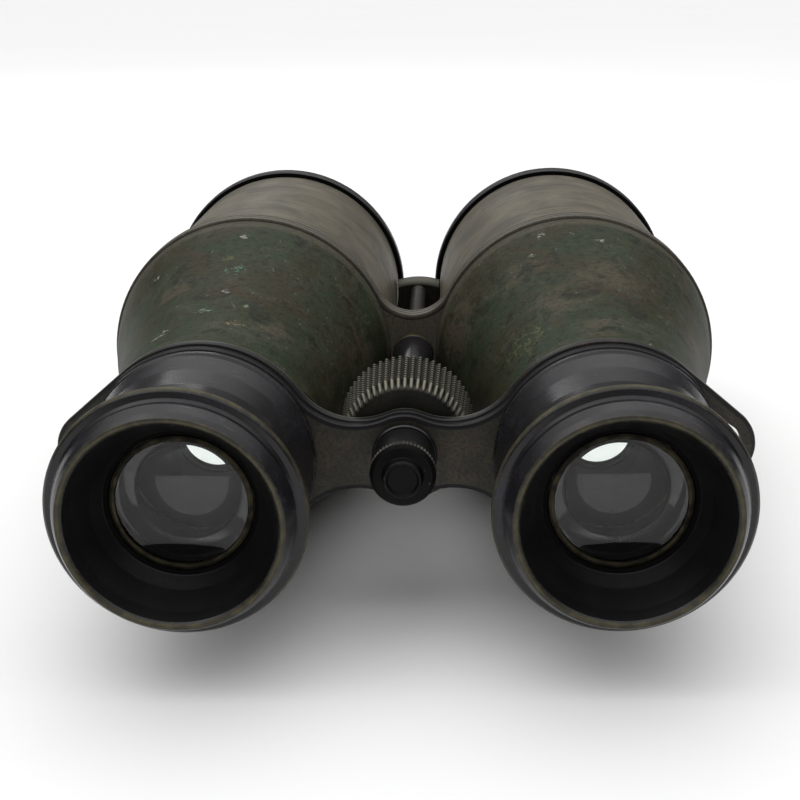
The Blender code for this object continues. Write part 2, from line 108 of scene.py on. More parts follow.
# ---------------------------------------------------------------- finishes
class Brush:
    """Lays one procedural finish down, node by node."""

    def __init__(self, name: str) -> None:
        """Starts an empty finish.

        Args:
            name: the material's name.
        """
        self.material = bpy.data.materials.new(name)
        self.material.use_nodes = True
        self.tree = self.material.node_tree
        self.shader = self.tree.nodes["Principled BSDF"]
        self.place = self.tree.nodes.new("ShaderNodeTexCoord").outputs["Object"]

    def put(self, socket: Socket, value: Socket | float | Colour) -> None:
        """Links or sets one input.

        Args:
            socket: the input.
            value: an output to link, or a plain number or colour.
        """
        if isinstance(value, bpy.types.NodeSocket):
            self.tree.links.new(value, socket)
        elif isinstance(value, tuple):
            socket.default_value = (*value, 1.0) if len(value) == 3 else value
        else:
            socket.default_value = value

    def grain(self, size: float, detail: float = 3.0, roughness: float = 0.5,
              stretch: Colour = (1.0, 1.0, 1.0), warp: float = 0.0) -> Socket:
        """Cloudy noise whose features are about `size` millimetres wide.

        Args:
            size: feature size in millimetres.
            detail: how many finer layers it has.
            roughness: how strong the finer layers are.
            stretch: how much finer it is along each axis.
            warp: how much it swirls.

        Returns:
            The noise, about 0.5 on average.
        """
        spread = self.tree.nodes.new("ShaderNodeMapping")
        spread.inputs["Scale"].default_value = stretch
        self.tree.links.new(self.place, spread.inputs["Vector"])
        cloud = self.tree.nodes.new("ShaderNodeTexNoise")
        cloud.inputs["Scale"].default_value = 1.0 / (size * MM)
        cloud.inputs["Detail"].default_value = detail
        cloud.inputs["Roughness"].default_value = roughness
        cloud.inputs["Distortion"].default_value = warp
        self.tree.links.new(spread.outputs[0], cloud.inputs["Vector"])
        return cloud.outputs["Fac"]

    def specks(self, size: float) -> Socket:
        """Distance from scattered points about `size` millimetres apart, 0 at each point."""
        cells = self.tree.nodes.new("ShaderNodeTexVoronoi")
        cells.inputs["Scale"].default_value = 1.0 / (size * MM)
        self.tree.links.new(self.place, cells.inputs["Vector"])
        return cells.outputs["Distance"]

    def mask(self, value: Socket, low: float, high: float) -> Socket:
        """A soft step: 0 below `low`, 1 above `high`, the other way round if low > high."""
        step = self.tree.nodes.new("ShaderNodeMapRange")
        step.interpolation_type = "SMOOTHSTEP"
        flip = low > high
        step.inputs["From Min"].default_value = high if flip else low
        step.inputs["From Max"].default_value = low if flip else high
        step.inputs["To Min"].default_value = 1.0 if flip else 0.0
        step.inputs["To Max"].default_value = 0.0 if flip else 1.0
        self.tree.links.new(value, step.inputs["Value"])
        return step.outputs["Result"]

    def work(self, operation: str, a: Socket | float, b: Socket | float) -> Socket:
        """One arithmetic step, named as Blender names it, with its result kept in 0 to 1."""
        step = self.tree.nodes.new("ShaderNodeMath")
        step.operation = operation
        step.use_clamp = True
        self.put(step.inputs[0], a)
        self.put(step.inputs[1], b)
        return step.outputs[0]

    def plus(self, a: Socket | float, b: Socket | float) -> Socket:
        """The sum of two values, at most 1."""
        return self.work("ADD", a, b)

    def times(self, a: Socket | float, b: Socket | float) -> Socket:
        """The product of two values."""
        return self.work("MULTIPLY", a, b)

    def stack(self, *layers: tuple[Socket, float]) -> Socket:
        """The sum of several values, each by its own weight."""
        total = self.times(*layers[0])
        for layer, weight in layers[1:]:
            total = self.plus(total, self.times(layer, weight))
        return total

    def blend(self, share: Socket | float, a: Socket | Colour, b: Socket | Colour) -> Socket:
        """A colour that goes from `a` to `b`."""
        step = self.tree.nodes.new("ShaderNodeMix")
        step.data_type = "RGBA"
        self.put(step.inputs[0], share)
        self.put(step.inputs[6], a)
        self.put(step.inputs[7], b)
        return step.outputs[2]

    def over(self, colour: Socket, tint: Colour, share: Socket, most: float) -> Socket:
        """A colour with `tint` laid over it where `share` is high, covering `most` of it."""
        return self.blend(self.times(share, most), colour, tint)

    def level(self, share: Socket, a: Socket | float, b: Socket | float) -> Socket:
        """A number that goes from `a` to `b`."""
        step = self.tree.nodes.new("ShaderNodeMix")
        self.put(step.inputs[0], share)
        self.put(step.inputs[2], a)
        self.put(step.inputs[3], b)
        return step.outputs[0]

    def rubbed(self, fine: Socket, share: float, low: float, high: float) -> Socket:
        """Where the mesh says that the surface is rubbed, with its edge broken up.

        Args:
            fine: the noise that breaks the edge up.
            share: how much of that noise is added.
            low: the sum below which nothing is rubbed.
            high: the sum above which all is rubbed.

        Returns:
            The rubbed share, 0 to 1.
        """
        reader = self.tree.nodes.new("ShaderNodeAttribute")
        reader.attribute_name = WEAR
        return self.mask(self.plus(reader.outputs["Fac"], self.times(fine, share)), low, high)

    def height(self, low: float, high: float) -> Socket:
        """0 below `low` millimetres above the piece's own centre, rising to 1 at `high`."""
        split = self.tree.nodes.new("ShaderNodeSeparateXYZ")
        self.tree.links.new(self.place, split.inputs[0])
        return self.mask(split.outputs["Z"], low * MM, high * MM)

    def near(self, point: Vector, reach: float) -> Socket:
        """1 at a point of the piece, falling to 0 at `reach` millimetres from it."""
        gap = self.tree.nodes.new("ShaderNodeVectorMath")
        gap.operation = "DISTANCE"
        gap.inputs[1].default_value = point
        self.tree.links.new(self.place, gap.inputs[0])
        return self.mask(gap.outputs["Value"], reach * MM, 0.0)

    def gleam(self, level: float) -> None:
        """Sets how strongly the surface reflects; 0.5 is common."""
        self.shader.inputs["Specular IOR Level"].default_value = level

    def relief(self, height: Socket, depth: float) -> None:
        """Raises the surface by up to `depth` millimetres where `height` is high."""
        bump = self.tree.nodes.new("ShaderNodeBump")
        bump.inputs["Distance"].default_value = depth * MM
        self.tree.links.new(height, bump.inputs["Height"])
        self.tree.links.new(bump.outputs["Normal"], self.shader.inputs["Normal"])

    def finish(self, colour: Socket | Colour, roughness: Socket | float,
               metal: Socket | float) -> bpy.types.Material:
        """Wires the three main channels and hands the material over."""
        self.put(self.shader.inputs["Base Color"], colour)
        self.put(self.shader.inputs["Roughness"], roughness)
        self.put(self.shader.inputs["Metallic"], metal)
        return self.material


@dataclass(frozen=True)
class Lacquer:
    """Black stoving lacquer over brass, rubbed through to the metal along its edges."""

    name: str = "black_lacquer"
    slot: str = "black_lacquer"
    black: Colour = (0.0065, 0.0062, 0.0075)
    haze: Colour = (0.020, 0.017, 0.026)
    scratch: Colour = (0.05, 0.05, 0.05)
    bare: Colour = (0.080, 0.070, 0.038)
    tarnish: Colour = (0.046, 0.042, 0.026)
    gloss: float = 0.24
    rubbed_gloss: float = 0.48
    specular: float = 0.36

    def make(self) -> bpy.types.Material:
        """Builds the material."""
        brush = Brush(self.name)
        cloud = brush.grain(7.0, 4.0)
        fine = brush.grain(0.7, 5.0, 0.65)
        turned = brush.grain(6.0, 3.0, 0.6, (1.0, 16.0, 1.0))
        haze = brush.times(brush.mask(cloud, 0.42, 0.72), brush.mask(fine, 0.35, 0.75))
        coat = brush.blend(haze, self.black, self.haze)
        rubbed = brush.rubbed(fine, 0.35, 0.52, 0.86)
        brass = brush.blend(brush.mask(brush.grain(2.6, 4.0, 0.6), 0.38, 0.62), self.bare, self.tarnish)
        lines = brush.mask(brush.grain(5.0, 2.0, 0.5, (1.0, 30.0, 3.0)), 0.69, 0.74)
        colour = brush.blend(rubbed, brush.blend(lines, coat, self.scratch), brass)
        coat_gloss = brush.level(cloud, self.gloss - 0.07, self.gloss + 0.10)
        brush.relief(brush.stack((turned, 0.6), (fine, 0.4)), 0.018)
        brush.gleam(self.specular)
        return brush.finish(colour, brush.level(rubbed, coat_gloss, self.rubbed_gloss),
                            brush.times(rubbed, 0.55))


@dataclass(frozen=True)
class DustyBlack:
    """Dull black with paler dust or rubbing here and there: optical black unless told otherwise."""

    name: str = "matte_black"
    slot: str = "black_lacquer"
    black: Colour = (0.0030, 0.0030, 0.0030)
    dust: Colour = (0.0080, 0.0080, 0.0078)
    patches: tuple[float, float, float] = (4.0, 0.4, 0.7)
    grit: tuple[float, float, float] = (0.5, 0.45, 0.7)
    grain: tuple[float, float] = (5.0, 4.0)
    roughness: tuple[float, float] = (0.50, 0.74)
    depth: float = 0.02
    specular: float = 0.02

    def make(self) -> bpy.types.Material:
        """Builds the material."""
        brush = Brush(self.name)
        cloud = brush.grain(self.patches[0], self.grain[0], 0.6)
        fine = brush.grain(self.grit[0], self.grain[1], 0.7)
        dust = brush.times(brush.mask(cloud, *self.patches[1:]), brush.mask(fine, *self.grit[1:]))
        brush.relief(fine, self.depth)
        brush.gleam(self.specular)
        return brush.finish(brush.blend(dust, self.black, self.dust),
                            brush.level(cloud, *self.roughness), 0.0)


TUBE_BLACK = DustyBlack()
BOWL_BLACK = DustyBlack("bowl_black", black=(0.0045, 0.0045, 0.0048), dust=(0.014, 0.014, 0.0145),
                        patches=(6.0, 0.45, 0.75), grit=(0.6, 0.4, 0.8), grain=(4.0, 5.0),
                        roughness=(0.30, 0.44), depth=0.015, specular=0.28)


@dataclass(frozen=True)
class MottledPaint:
    """Old green-grey paint over brass: mottled, scuffed, with verdigris and bare brown patches, and painted
    shade that darkens the flanks and underside.
    """

    name: str
    marks: tuple[tuple[Vector, float, Colour], ...] = ()
    bare_places: tuple[tuple[Vector, float], ...] = ()
    slot: str = "green_paint"
    olive: Colour = (0.033, 0.032, 0.016)
    green: Colour = (0.027, 0.038, 0.020)
    grey: Colour = (0.060, 0.061, 0.042)
    brown: Colour = (0.044, 0.032, 0.018)
    bare: Colour = (0.072, 0.059, 0.040)
    # Dark pits and grime, also used for the painted shade on the flanks and underside.
    dark: Colour = (0.0075, 0.0075, 0.0045)
    scuff: Colour = (0.15, 0.155, 0.125)
    speck: Colour = (0.17, 0.18, 0.145)
    edge: Colour = (0.085, 0.074, 0.056)

    def make(self) -> bpy.types.Material:
        """Builds the material, from the broad tones to the small marks."""
        brush = Brush(self.name)
        broad = brush.grain(22.0, 4.0, 0.55, warp=0.8)
        cloud = brush.grain(8.0, 6.0, 0.66, warp=0.5)
        patch = brush.grain(12.0, 6.0, 0.64, (1.0, 1.0, 1.3), 0.9)
        blotch = brush.grain(4.2, 6.0, 0.72, warp=0.4)
        fine = brush.grain(1.0, 6.0, 0.75)
        colour = brush.blend(brush.mask(broad, 0.42, 0.60), self.olive, self.green)
        colour = brush.over(colour, self.grey, brush.mask(cloud, 0.48, 0.70), 0.8)
        colour = brush.over(colour, self.brown, brush.mask(patch, 0.52, 0.66), 0.75)
        for point, reach in self.bare_places:
            worn = brush.times(brush.near(point, reach), brush.mask(blotch, 0.36, 0.62))
            colour = brush.over(colour, self.bare, brush.mask(worn, 0.10, 0.75), 0.75)
        colour = brush.over(colour, self.dark, brush.mask(blotch, 0.50, 0.30), 0.75)
        colour = brush.over(colour, self.dark, brush.mask(fine, 0.52, 0.34), 0.65)
        # Painted shade: the paint is darkened on the flanks and underside and left lightest on top, with a
        # little noise mixed in.
        flank_and_underside_shade = brush.plus(brush.height(-6.0, 24.0), brush.times(patch, 0.5))
        colour = brush.over(colour, self.dark, brush.mask(flank_and_underside_shade, 0.95, 0.25), 0.62)
        for point, reach, tint in self.marks:
            torn = brush.mask(brush.grain(1.5, 5.0, 0.7, (1.0, 1.0, 1.6), 0.8), 0.49, 0.62)
            spot = brush.times(brush.near(point, reach), torn)
            colour = brush.blend(brush.mask(spot, 0.15, 0.5), colour, tint)
        scuffed = brush.mask(brush.grain(3.0, 4.0, 0.6, (8.0, 1.2, 2.0), 0.5), 0.66, 0.76)
        colour = brush.over(colour, self.scuff, scuffed, 0.5)
        dots = brush.times(brush.mask(brush.specks(1.5), 0.16, 0.05), brush.mask(cloud, 0.46, 0.60))
        colour = brush.over(colour, self.speck, dots, 0.8)
        colour = brush.over(colour, self.edge, brush.rubbed(fine, 0.4, 0.50, 0.90), 0.8)
        brush.relief(brush.stack((blotch, 0.5), (fine, 0.45), (cloud, 0.2)), 0.22)
        brush.gleam(0.11)
        return brush.finish(colour, brush.level(cloud, 0.42, 0.62), 0.12)


@dataclass(frozen=True)
class SatinTube:
    """Taupe metal rubbed round and round until satin, a little stained."""

    name: str = "brown_metal"
    slot: str = "brown_metal"
    light: Colour = (0.138, 0.117, 0.079)
    dark: Colour = (0.072, 0.064, 0.046)
    stain: Colour = (0.084, 0.062, 0.042)
    polish: Colour = (0.27, 0.25, 0.21)
    grime: Colour = (0.07, 0.065, 0.05)

    def make(self) -> bpy.types.Material:
        """Builds the material."""
        brush = Brush(self.name)
        cloud = brush.grain(11.0, 4.0, 0.6, warp=0.4)
        rings = brush.grain(16.0, 5.0, 0.7, (1.0, 22.0, 1.0))
        fine = brush.grain(0.8, 4.0, 0.7)
        colour = brush.blend(brush.mask(cloud, 0.34, 0.64), self.light, self.dark)
        colour = brush.over(colour, self.stain, brush.mask(brush.grain(7.0, 5.0, 0.6), 0.55, 0.72), 0.5)
        colour = brush.over(colour, self.polish, brush.mask(rings, 0.40, 0.72), 0.35)
        colour = brush.over(colour, self.grime, brush.mask(fine, 0.60, 0.74), 0.25)
        brush.relief(brush.stack((rings, 0.6), (fine, 0.4)), 0.03)
        return brush.finish(colour, brush.level(cloud, 0.46, 0.60), 0.45)


@dataclass(frozen=True)
class DarkBrass:
    """Brass browned and blackened with age, paler where hands and edges rub it."""

    name: str = "dark_brass"
    slot: str = "dark_brass"
    body: Colour = (0.034, 0.033, 0.025)
    brown: Colour = (0.060, 0.050, 0.036)
    black: Colour = (0.012, 0.012, 0.012)
    red: Colour = (0.060, 0.034, 0.028)
    bare: Colour = (0.15, 0.145, 0.115)
    roughness: float = 0.46
    metal: float = 0.45
    specular: float = 0.35

    def make(self) -> bpy.types.Material:
        """Builds the material."""
        brush = Brush(self.name)
        cloud = brush.grain(5.0, 5.0, 0.62, warp=0.5)
        fine = brush.grain(0.6, 5.0, 0.72)
        colour = brush.blend(brush.mask(cloud, 0.40, 0.66), self.body, self.brown)
        colour = brush.over(colour, self.black, brush.mask(fine, 0.60, 0.34), 0.6)
        colour = brush.over(colour, self.red, brush.mask(brush.grain(3.4, 3.0, 0.5), 0.62, 0.74), 0.6)
        colour = brush.blend(brush.rubbed(fine, 0.35, 0.50, 0.85), colour, self.bare)
        brush.relief(brush.stack((cloud, 0.5), (fine, 0.5)), 0.045)
        brush.gleam(self.specular)
        return brush.finish(colour, brush.level(cloud, self.roughness - 0.08, self.roughness + 0.1),
                            self.metal)


@dataclass(frozen=True)
class BareBrass:
    """Bare old brass, dulled to a soft tan."""

    name: str = "worn_brass"
    slot: str = "worn_brass"
    light: Colour = (0.30, 0.235, 0.115)
    dull: Colour = (0.13, 0.108, 0.062)
    roughness: tuple[float, float] = (0.32, 0.56)

    def make(self) -> bpy.types.Material:
        """Builds the material."""
        brush = Brush(self.name)
        cloud = brush.grain(2.5, 5.0, 0.6)
        brush.relief(brush.grain(5.0, 4.0, 0.6, (1.0, 18.0, 1.0)), 0.02)
        return brush.finish(brush.blend(brush.mask(cloud, 0.36, 0.62), self.light, self.dull),
                            brush.level(cloud, *self.roughness), 0.9)


@dataclass(frozen=True)
class ScrewSteel:
    """Oily turned steel."""

    name: str = "steel"
    slot: str = "steel"
    light: Colour = (0.30, 0.29, 0.27)
    oily: Colour = (0.15, 0.14, 0.125)

    def make(self) -> bpy.types.Material:
        """Builds the material."""
        brush = Brush(self.name)
        cloud = brush.grain(3.0, 4.0, 0.6)
        brush.relief(brush.grain(4.0, 4.0, 0.6, (1.0, 20.0, 1.0)), 0.03)
        return brush.finish(brush.blend(cloud, self.light, self.oily), brush.level(cloud, 0.25, 0.45), 1.0)


@dataclass(frozen=True)
class LensGlass:
    """Clear glass with a faint film of dust and finger marks."""

    name: str = "glass"
    slot: str = "glass"
    tint: Colour = (0.93, 0.96, 0.94)
    film: Colour = (0.86, 0.89, 0.87)
    bending: float = 1.42

    def make(self) -> bpy.types.Material:
        """Builds the material."""
        brush = Brush(self.name)
        smear = brush.mask(brush.grain(5.0, 4.0, 0.6, warp=0.8), 0.52, 0.80)
        brush.shader.inputs["Transmission Weight"].default_value = 1.0
        brush.shader.inputs["IOR"].default_value = self.bending
        brush.gleam(0.11)
        return brush.finish(brush.blend(smear, self.tint, self.film), 0.0, 0.0)


class Paints:
    """Keeps one material of each finish, so that pieces share them."""

    def __init__(self) -> None:
        """Starts with no material made."""
        self._made: dict[str, bpy.types.Material] = {}

    def get(self, finish) -> bpy.types.Material:
        """The material of one finish, made the first time it is asked for."""
        if finish.name not in self._made:
            self._made[finish.name] = finish.make()
        return self._made[finish.name]


PAINTS = Paints()


# ---------------------------------------------------------------- where things are
@dataclass(frozen=True)
class OpticalFrame:
    """Turns optical-frame millimetres into the row frame, as the CAD pieces lie in it."""

    axis_x: float
    y0: float
    z0: float
    spindle_z: float

    @classmethod
    def from_cad(cls, lip_y: float = -4.75) -> "OpticalFrame":
        """Reads the frame off the eyecups and the spindle.

        Args:
            lip_y: where the eyecup's lip is, in front of its flange.

        Returns:
            The frame.
        """
        low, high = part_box("right_eyecup")
        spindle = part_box("spindle")
        z0 = (low.z + high.z) / 2.0
        return cls((low.x + high.x) / 2.0 / MM, low.y - lip_y * MM, z0,
                   ((spindle[0].z + spindle[1].z) / 2.0 - z0) / MM)

    def at(self, x: float, y: float, z: float) -> Vector:
        """The row-frame point of an optical-frame point."""
        return Vector((x * MM, self.y0 + y * MM, self.z0 + z * MM))


OPTICS = OpticalFrame.from_cad()


# ---------------------------------------------------------------- turning and plate work
@dataclass(frozen=True)
class Corner:
    """One corner of a turned profile: how far along, how far out, how it is finished."""

    y: float
    r: float
    ease: float = 0.0
    wear: float = 0.0
    coat: int = 0


def ease_corners(corners: Sequence[Corner], closed: bool, steps: int = 4) -> list[Corner]:
    """Rounds the corners of a profile.

    Args:
        corners: the corners in order.
        closed: whether the last corner joins the first.
        steps: points per rounded corner.

    Returns:
        The finer profile.
    """
    made: list[Corner] = []
    count = len(corners)
    for i, corner in enumerate(corners):
        end = not closed and i in (0, count - 1)
        if corner.ease <= 0.0 or end:
            made.append(corner)
            continue
        here = Vector((corner.y, corner.r))
        before = Vector((corners[i - 1].y, corners[i - 1].r)) - here
        after = Vector((corners[(i + 1) % count].y, corners[(i + 1) % count].r)) - here
        opening = before.angle(after)
        if opening > math.radians(176.0):
            made.append(corner)
            continue
        run = min(corner.ease / math.tan(opening / 2.0), 0.49 * before.length, 0.49 * after.length)
        first = here + before.normalized() * run
        last = here + after.normalized() * run
        for k in range(steps + 1):
            t = k / steps
            p = first * (1 - t) ** 2 + here * 2 * t * (1 - t) + last * t ** 2
            coat = corners[i - 1].coat if t < 0.5 else corner.coat
            made.append(Corner(p.x, p.y, 0.0, corner.wear, coat))
    return made


@dataclass
class Piece:
    """One finished piece: its name, the body it rides on, and the CAD nodes it stands for."""

    name: str
    body: Body
    finishes: Sequence[object]
    replaces: Sequence[str]
    centre: tuple[float, float, float] = (0.0, 0.0, 0.0)
    crease: float = 38.0

    def build(self, points: Sequence[Sequence[float]], faces: Sequence[Sequence[int]],
              wear: Sequence[float], coats: Sequence[int]) -> bpy.types.Object:
        """Makes the object out of a mesh drawn in millimetres about `centre`.

        Args:
            points: the vertices.
            faces: the faces, outward side first.
            wear: how rubbed each vertex is.
            coats: which of the finishes each face has.

        Returns:
            The object, riding on its body.
        """
        mesh = bpy.data.meshes.new(self.name)
        mesh.from_pydata([[c * MM for c in p] for p in points], [], faces)
        mesh.attributes.new(WEAR, "FLOAT", "POINT").data.foreach_set("value", list(wear))
        mesh.polygons.foreach_set("material_index", list(coats))
        for finish in self.finishes:
            mesh.materials.append(PAINTS.get(finish))
        tidy = bmesh.new()
        tidy.from_mesh(mesh)
        bmesh.ops.remove_doubles(tidy, verts=tidy.verts, dist=1e-7)
        bmesh.ops.recalc_face_normals(tidy, faces=tidy.faces)
        tidy.to_mesh(mesh)
        tidy.free()
        mesh.shade_smooth()
        mesh.set_sharp_from_angle(angle=math.radians(self.crease))
        item = bpy.data.objects.new(self.name, mesh)
        bpy.context.scene.collection.objects.link(item)
        item.location = OPTICS.at(*self.centre)
        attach(item, self.body.value)
        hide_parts(*self.replaces)
        LOG.info("%s: %d faces on %s", self.name, len(mesh.polygons), self.body.value)
        return item

    def turn(self, rows: Sequence[Row], segments: int = 120, closed: bool = True,
             shape: Callable[[float, float, float], float] | None = None) -> bpy.types.Object:
        """Turns a profile about the piece's own centre line.

        Args:
            rows: the profile's corners, each as the values of a Corner.
            segments: facets round the piece.
            closed: whether the profile closes on itself; else it starts and ends on the axis.
            shape: gives the radius at (angle, y, r), for dents.

        Returns:
            The object.
        """
        profile = ease_corners([Corner(*row) for row in rows], closed)
        points: list[tuple[float, float, float]] = []
        wear: list[float] = []
        for corner in profile:
            for k in range(segments):
                angle = math.tau * k / segments
                r = shape(angle, corner.y, corner.r) if shape else corner.r
                points.append((r * math.cos(angle), corner.y - self.centre[1], r * math.sin(angle)))
                wear.append(corner.wear)
        faces: list[tuple[int, ...]] = []
        coats: list[int] = []
        count = len(profile)
        for row in range(count if closed else count - 1):
            upper = (row + 1) % count
            for k in range(segments):
                j = (k + 1) % segments
                faces.append((row * segments + k, row * segments + j,
                              upper * segments + j, upper * segments + k))
                coats.append(profile[row].coat)
        return self.build(points, faces, wear, coats)


def arc(centre: tuple[float, float], radius: float, start: float, end: float, steps: int) -> Loop:
    """Points of an arc in the X-Z plane, both ends included; angles in radians."""
    return [(centre[0] + radius * math.cos(start + (end - start) * i / steps),
             centre[1] + radius * math.sin(start + (end - start) * i / steps))
            for i in range(steps + 1)]


def circle(centre: tuple[float, float], radius: float, count: int) -> Loop:
    """Points of a full circle."""
    return arc(centre, radius, 0.0, math.tau * (count - 1) / count, count - 1)


@dataclass(frozen=True)
class Station:
    """One step along a plate's edge: where, how far out, how rubbed, and its finish."""

    y: float
    out: float
    wear: float = 0.0
    coat: int = 0


@dataclass
class PlateWork:
    """A plate whose edge is shaped along Y, with holes right through it."""

    piece: Piece
    outline: Callable[[float], Loop]
    rows: Sequence[Row]
    holes: Sequence[Loop] = ()
    rim: float = 0.35

    def build(self) -> bpy.types.Object:
        """Makes the plate; each row holds the values of a Station."""
        stations = [Station(*row) for row in self.rows]
        cy, cz = self.piece.centre[1], self.piece.centre[2]
        data = bmesh.new()
        pale_share = data.verts.layers.float.new(WEAR)

        def ring(loop: Loop, y: float, wear: float) -> list[bmesh.types.BMVert]:
            """One loop of vertices at `y`."""
            made = []
            for x, z in loop:
                vert = data.verts.new((x * MM, (y - cy) * MM, (z - cz) * MM))
                vert[pale_share] = wear
                made.append(vert)
            return made

        def bridge(near: list, far: list, coat: int) -> None:
            """Faces between two loops."""
            for i in range(len(near)):
                j = (i + 1) % len(near)
                data.faces.new((near[i], near[j], far[j], far[i])).material_index = coat

        def cap(loops: list[list], facing: float, coat: int) -> None:
            """Fills the flat region between an outer loop and its holes."""
            edges = [data.edges.get((a, b)) or data.edges.new((a, b))
                     for loop in loops for a, b in zip(loop, loop[1:] + loop[:1])]
            for item in bmesh.ops.triangle_fill(data, use_beauty=True, edges=edges,
                                                normal=(0.0, facing, 0.0))["geom"]:
                if isinstance(item, bmesh.types.BMFace):
                    item.material_index = coat

        first, last = stations[0], stations[-1]
        walls = [ring(self.outline(first.out - self.rim), first.y, 0.0)]
        walls += [ring(self.outline(s.out), s.y, s.wear) for s in stations]
        walls.append(ring(self.outline(last.out - self.rim), last.y, 0.0))
        coats = [first.coat] + [s.coat for s in stations]
        for near, far, coat in zip(walls, walls[1:], coats):
            bridge(near, far, coat)
        ends = [[walls[0]], [walls[-1]]]
        for hole in self.holes:
            pair = [ring(hole, first.y, 0.0), ring(hole, last.y, 0.0)]
            bridge(pair[0], pair[1], last.coat)
            ends[0].append(pair[0])
            ends[1].append(pair[1])
        cap(ends[0], -1.0, 0)
        cap(ends[1], 1.0, last.coat)
        bmesh.ops.recalc_face_normals(data, faces=data.faces)
        data.verts.index_update()
        points = [tuple(c / MM for c in v.co) for v in data.verts]
        faces = [tuple(v.index for v in f.verts) for f in data.faces]
        wear = [v[pale_share] for v in data.verts]
        face_coats = [f.material_index for f in data.faces]
        data.free()
        return self.piece.build(points, faces, wear, face_coats)


@dataclass
class WaistedOutline:
    """Outline of a plate by the wheel: two rings, a round lobe between and hollow waists."""

    ring_r: float
    lobe_r: float = 7.07
    waist_r: float = 11.27
    nose_x: float = 0.0
    nose_z: float = 0.9
    nose_r: float = 0.0

    def __call__(self, out: float) -> Loop:
        """The loop pushed outwards by `out`, anticlockwise from the bottom of the lobe."""
        axis = OPTICS.axis_x
        to_lobe, to_ring = self.lobe_r + self.waist_r, self.ring_r + self.waist_r
        across = (to_lobe ** 2 - to_ring ** 2 + axis ** 2) / (2.0 * axis)
        height = math.sqrt(to_lobe ** 2 - across ** 2)
        lobe_turn = math.atan2(height, across)
        ring_turn = math.atan2(height, across - axis)
        hollow, lobe, ring = self.waist_r - out, self.lobe_r + out, self.ring_r + out
        half = arc((0.0, 0.0), lobe, -math.pi / 2.0, -lobe_turn, 8)[1:]
        half += arc((across, -height), hollow, math.pi - lobe_turn, math.pi - ring_turn, 16)[1:-1]
        if self.nose_r:
            tangent = math.acos((self.ring_r - self.nose_r) / self.nose_x)
            half += arc((axis, 0.0), ring, -ring_turn, -tangent, 26)
            half += arc((axis + self.nose_x, self.nose_z), self.nose_r + out, -tangent, tangent, 24)
            half += arc((axis, 0.0), ring, tangent, ring_turn, 26)
        else:
            half += arc((axis, 0.0), ring, -ring_turn, ring_turn, 80)
        half += arc((across, height), hollow, math.pi + ring_turn, math.pi + lobe_turn, 16)[1:-1]
        half += arc((0.0, 0.0), lobe, lobe_turn, math.pi / 2.0, 8)[:-1]
        return [(0.0, -lobe)] + half + [(0.0, lobe)] + [(-x, z) for x, z in reversed(half)]


def paired(side: Side, name: str, body: Body, finishes: Sequence[object], node: str,
           crease: float = 38.0) -> Piece:
    """A turned piece of one barrel.

    Args:
        side: which barrel it belongs to.
        name: what it is called, after the side.
        body: the body that it rides on.
        finishes: its finishes.
        node: the CAD node that it stands for, after the side.
        crease: the angle in degrees from which an edge is sharp.

    Returns:
        The piece, still to be turned.
    """
    return Piece(f"{side.label}_{name}", body, finishes, (f"{side.label}_{node}",), side.centre, crease)


def lens_profile(first: float, last: float, radius: float, curve: float, steps: int) -> list[Row]:
    """Profile of a lens with two alike faces, from the middle of one to the middle of the other.

    Args:
        first: where the first face would be if it were flat; its middle lies forward of that.
        last: the same for the last face; its middle lies behind that.
        radius: the lens's radius.
        curve: the radius of each face's curve.
        steps: points from the middle of a face to its rim.

    Returns:
        The profile's rows.
    """
    rings = [radius * k / steps for k in range(steps + 1)]
    sags = [curve - math.sqrt(curve ** 2 - r * r) for r in rings]
    near = [(first + sags[-1] - sag, r) for sag, r in zip(sags, rings)]
    far = [(last - sags[-1] + sag, r) for sag, r in zip(sags, rings)]
    return near + far[::-1]


def both_bores(radius: float, count: int = 96) -> list[Loop]:
    """The pair of bores that the draw tubes or front tubes pass through."""
    return [circle((side.centre[0], 0.0), radius, count) for side in Side]


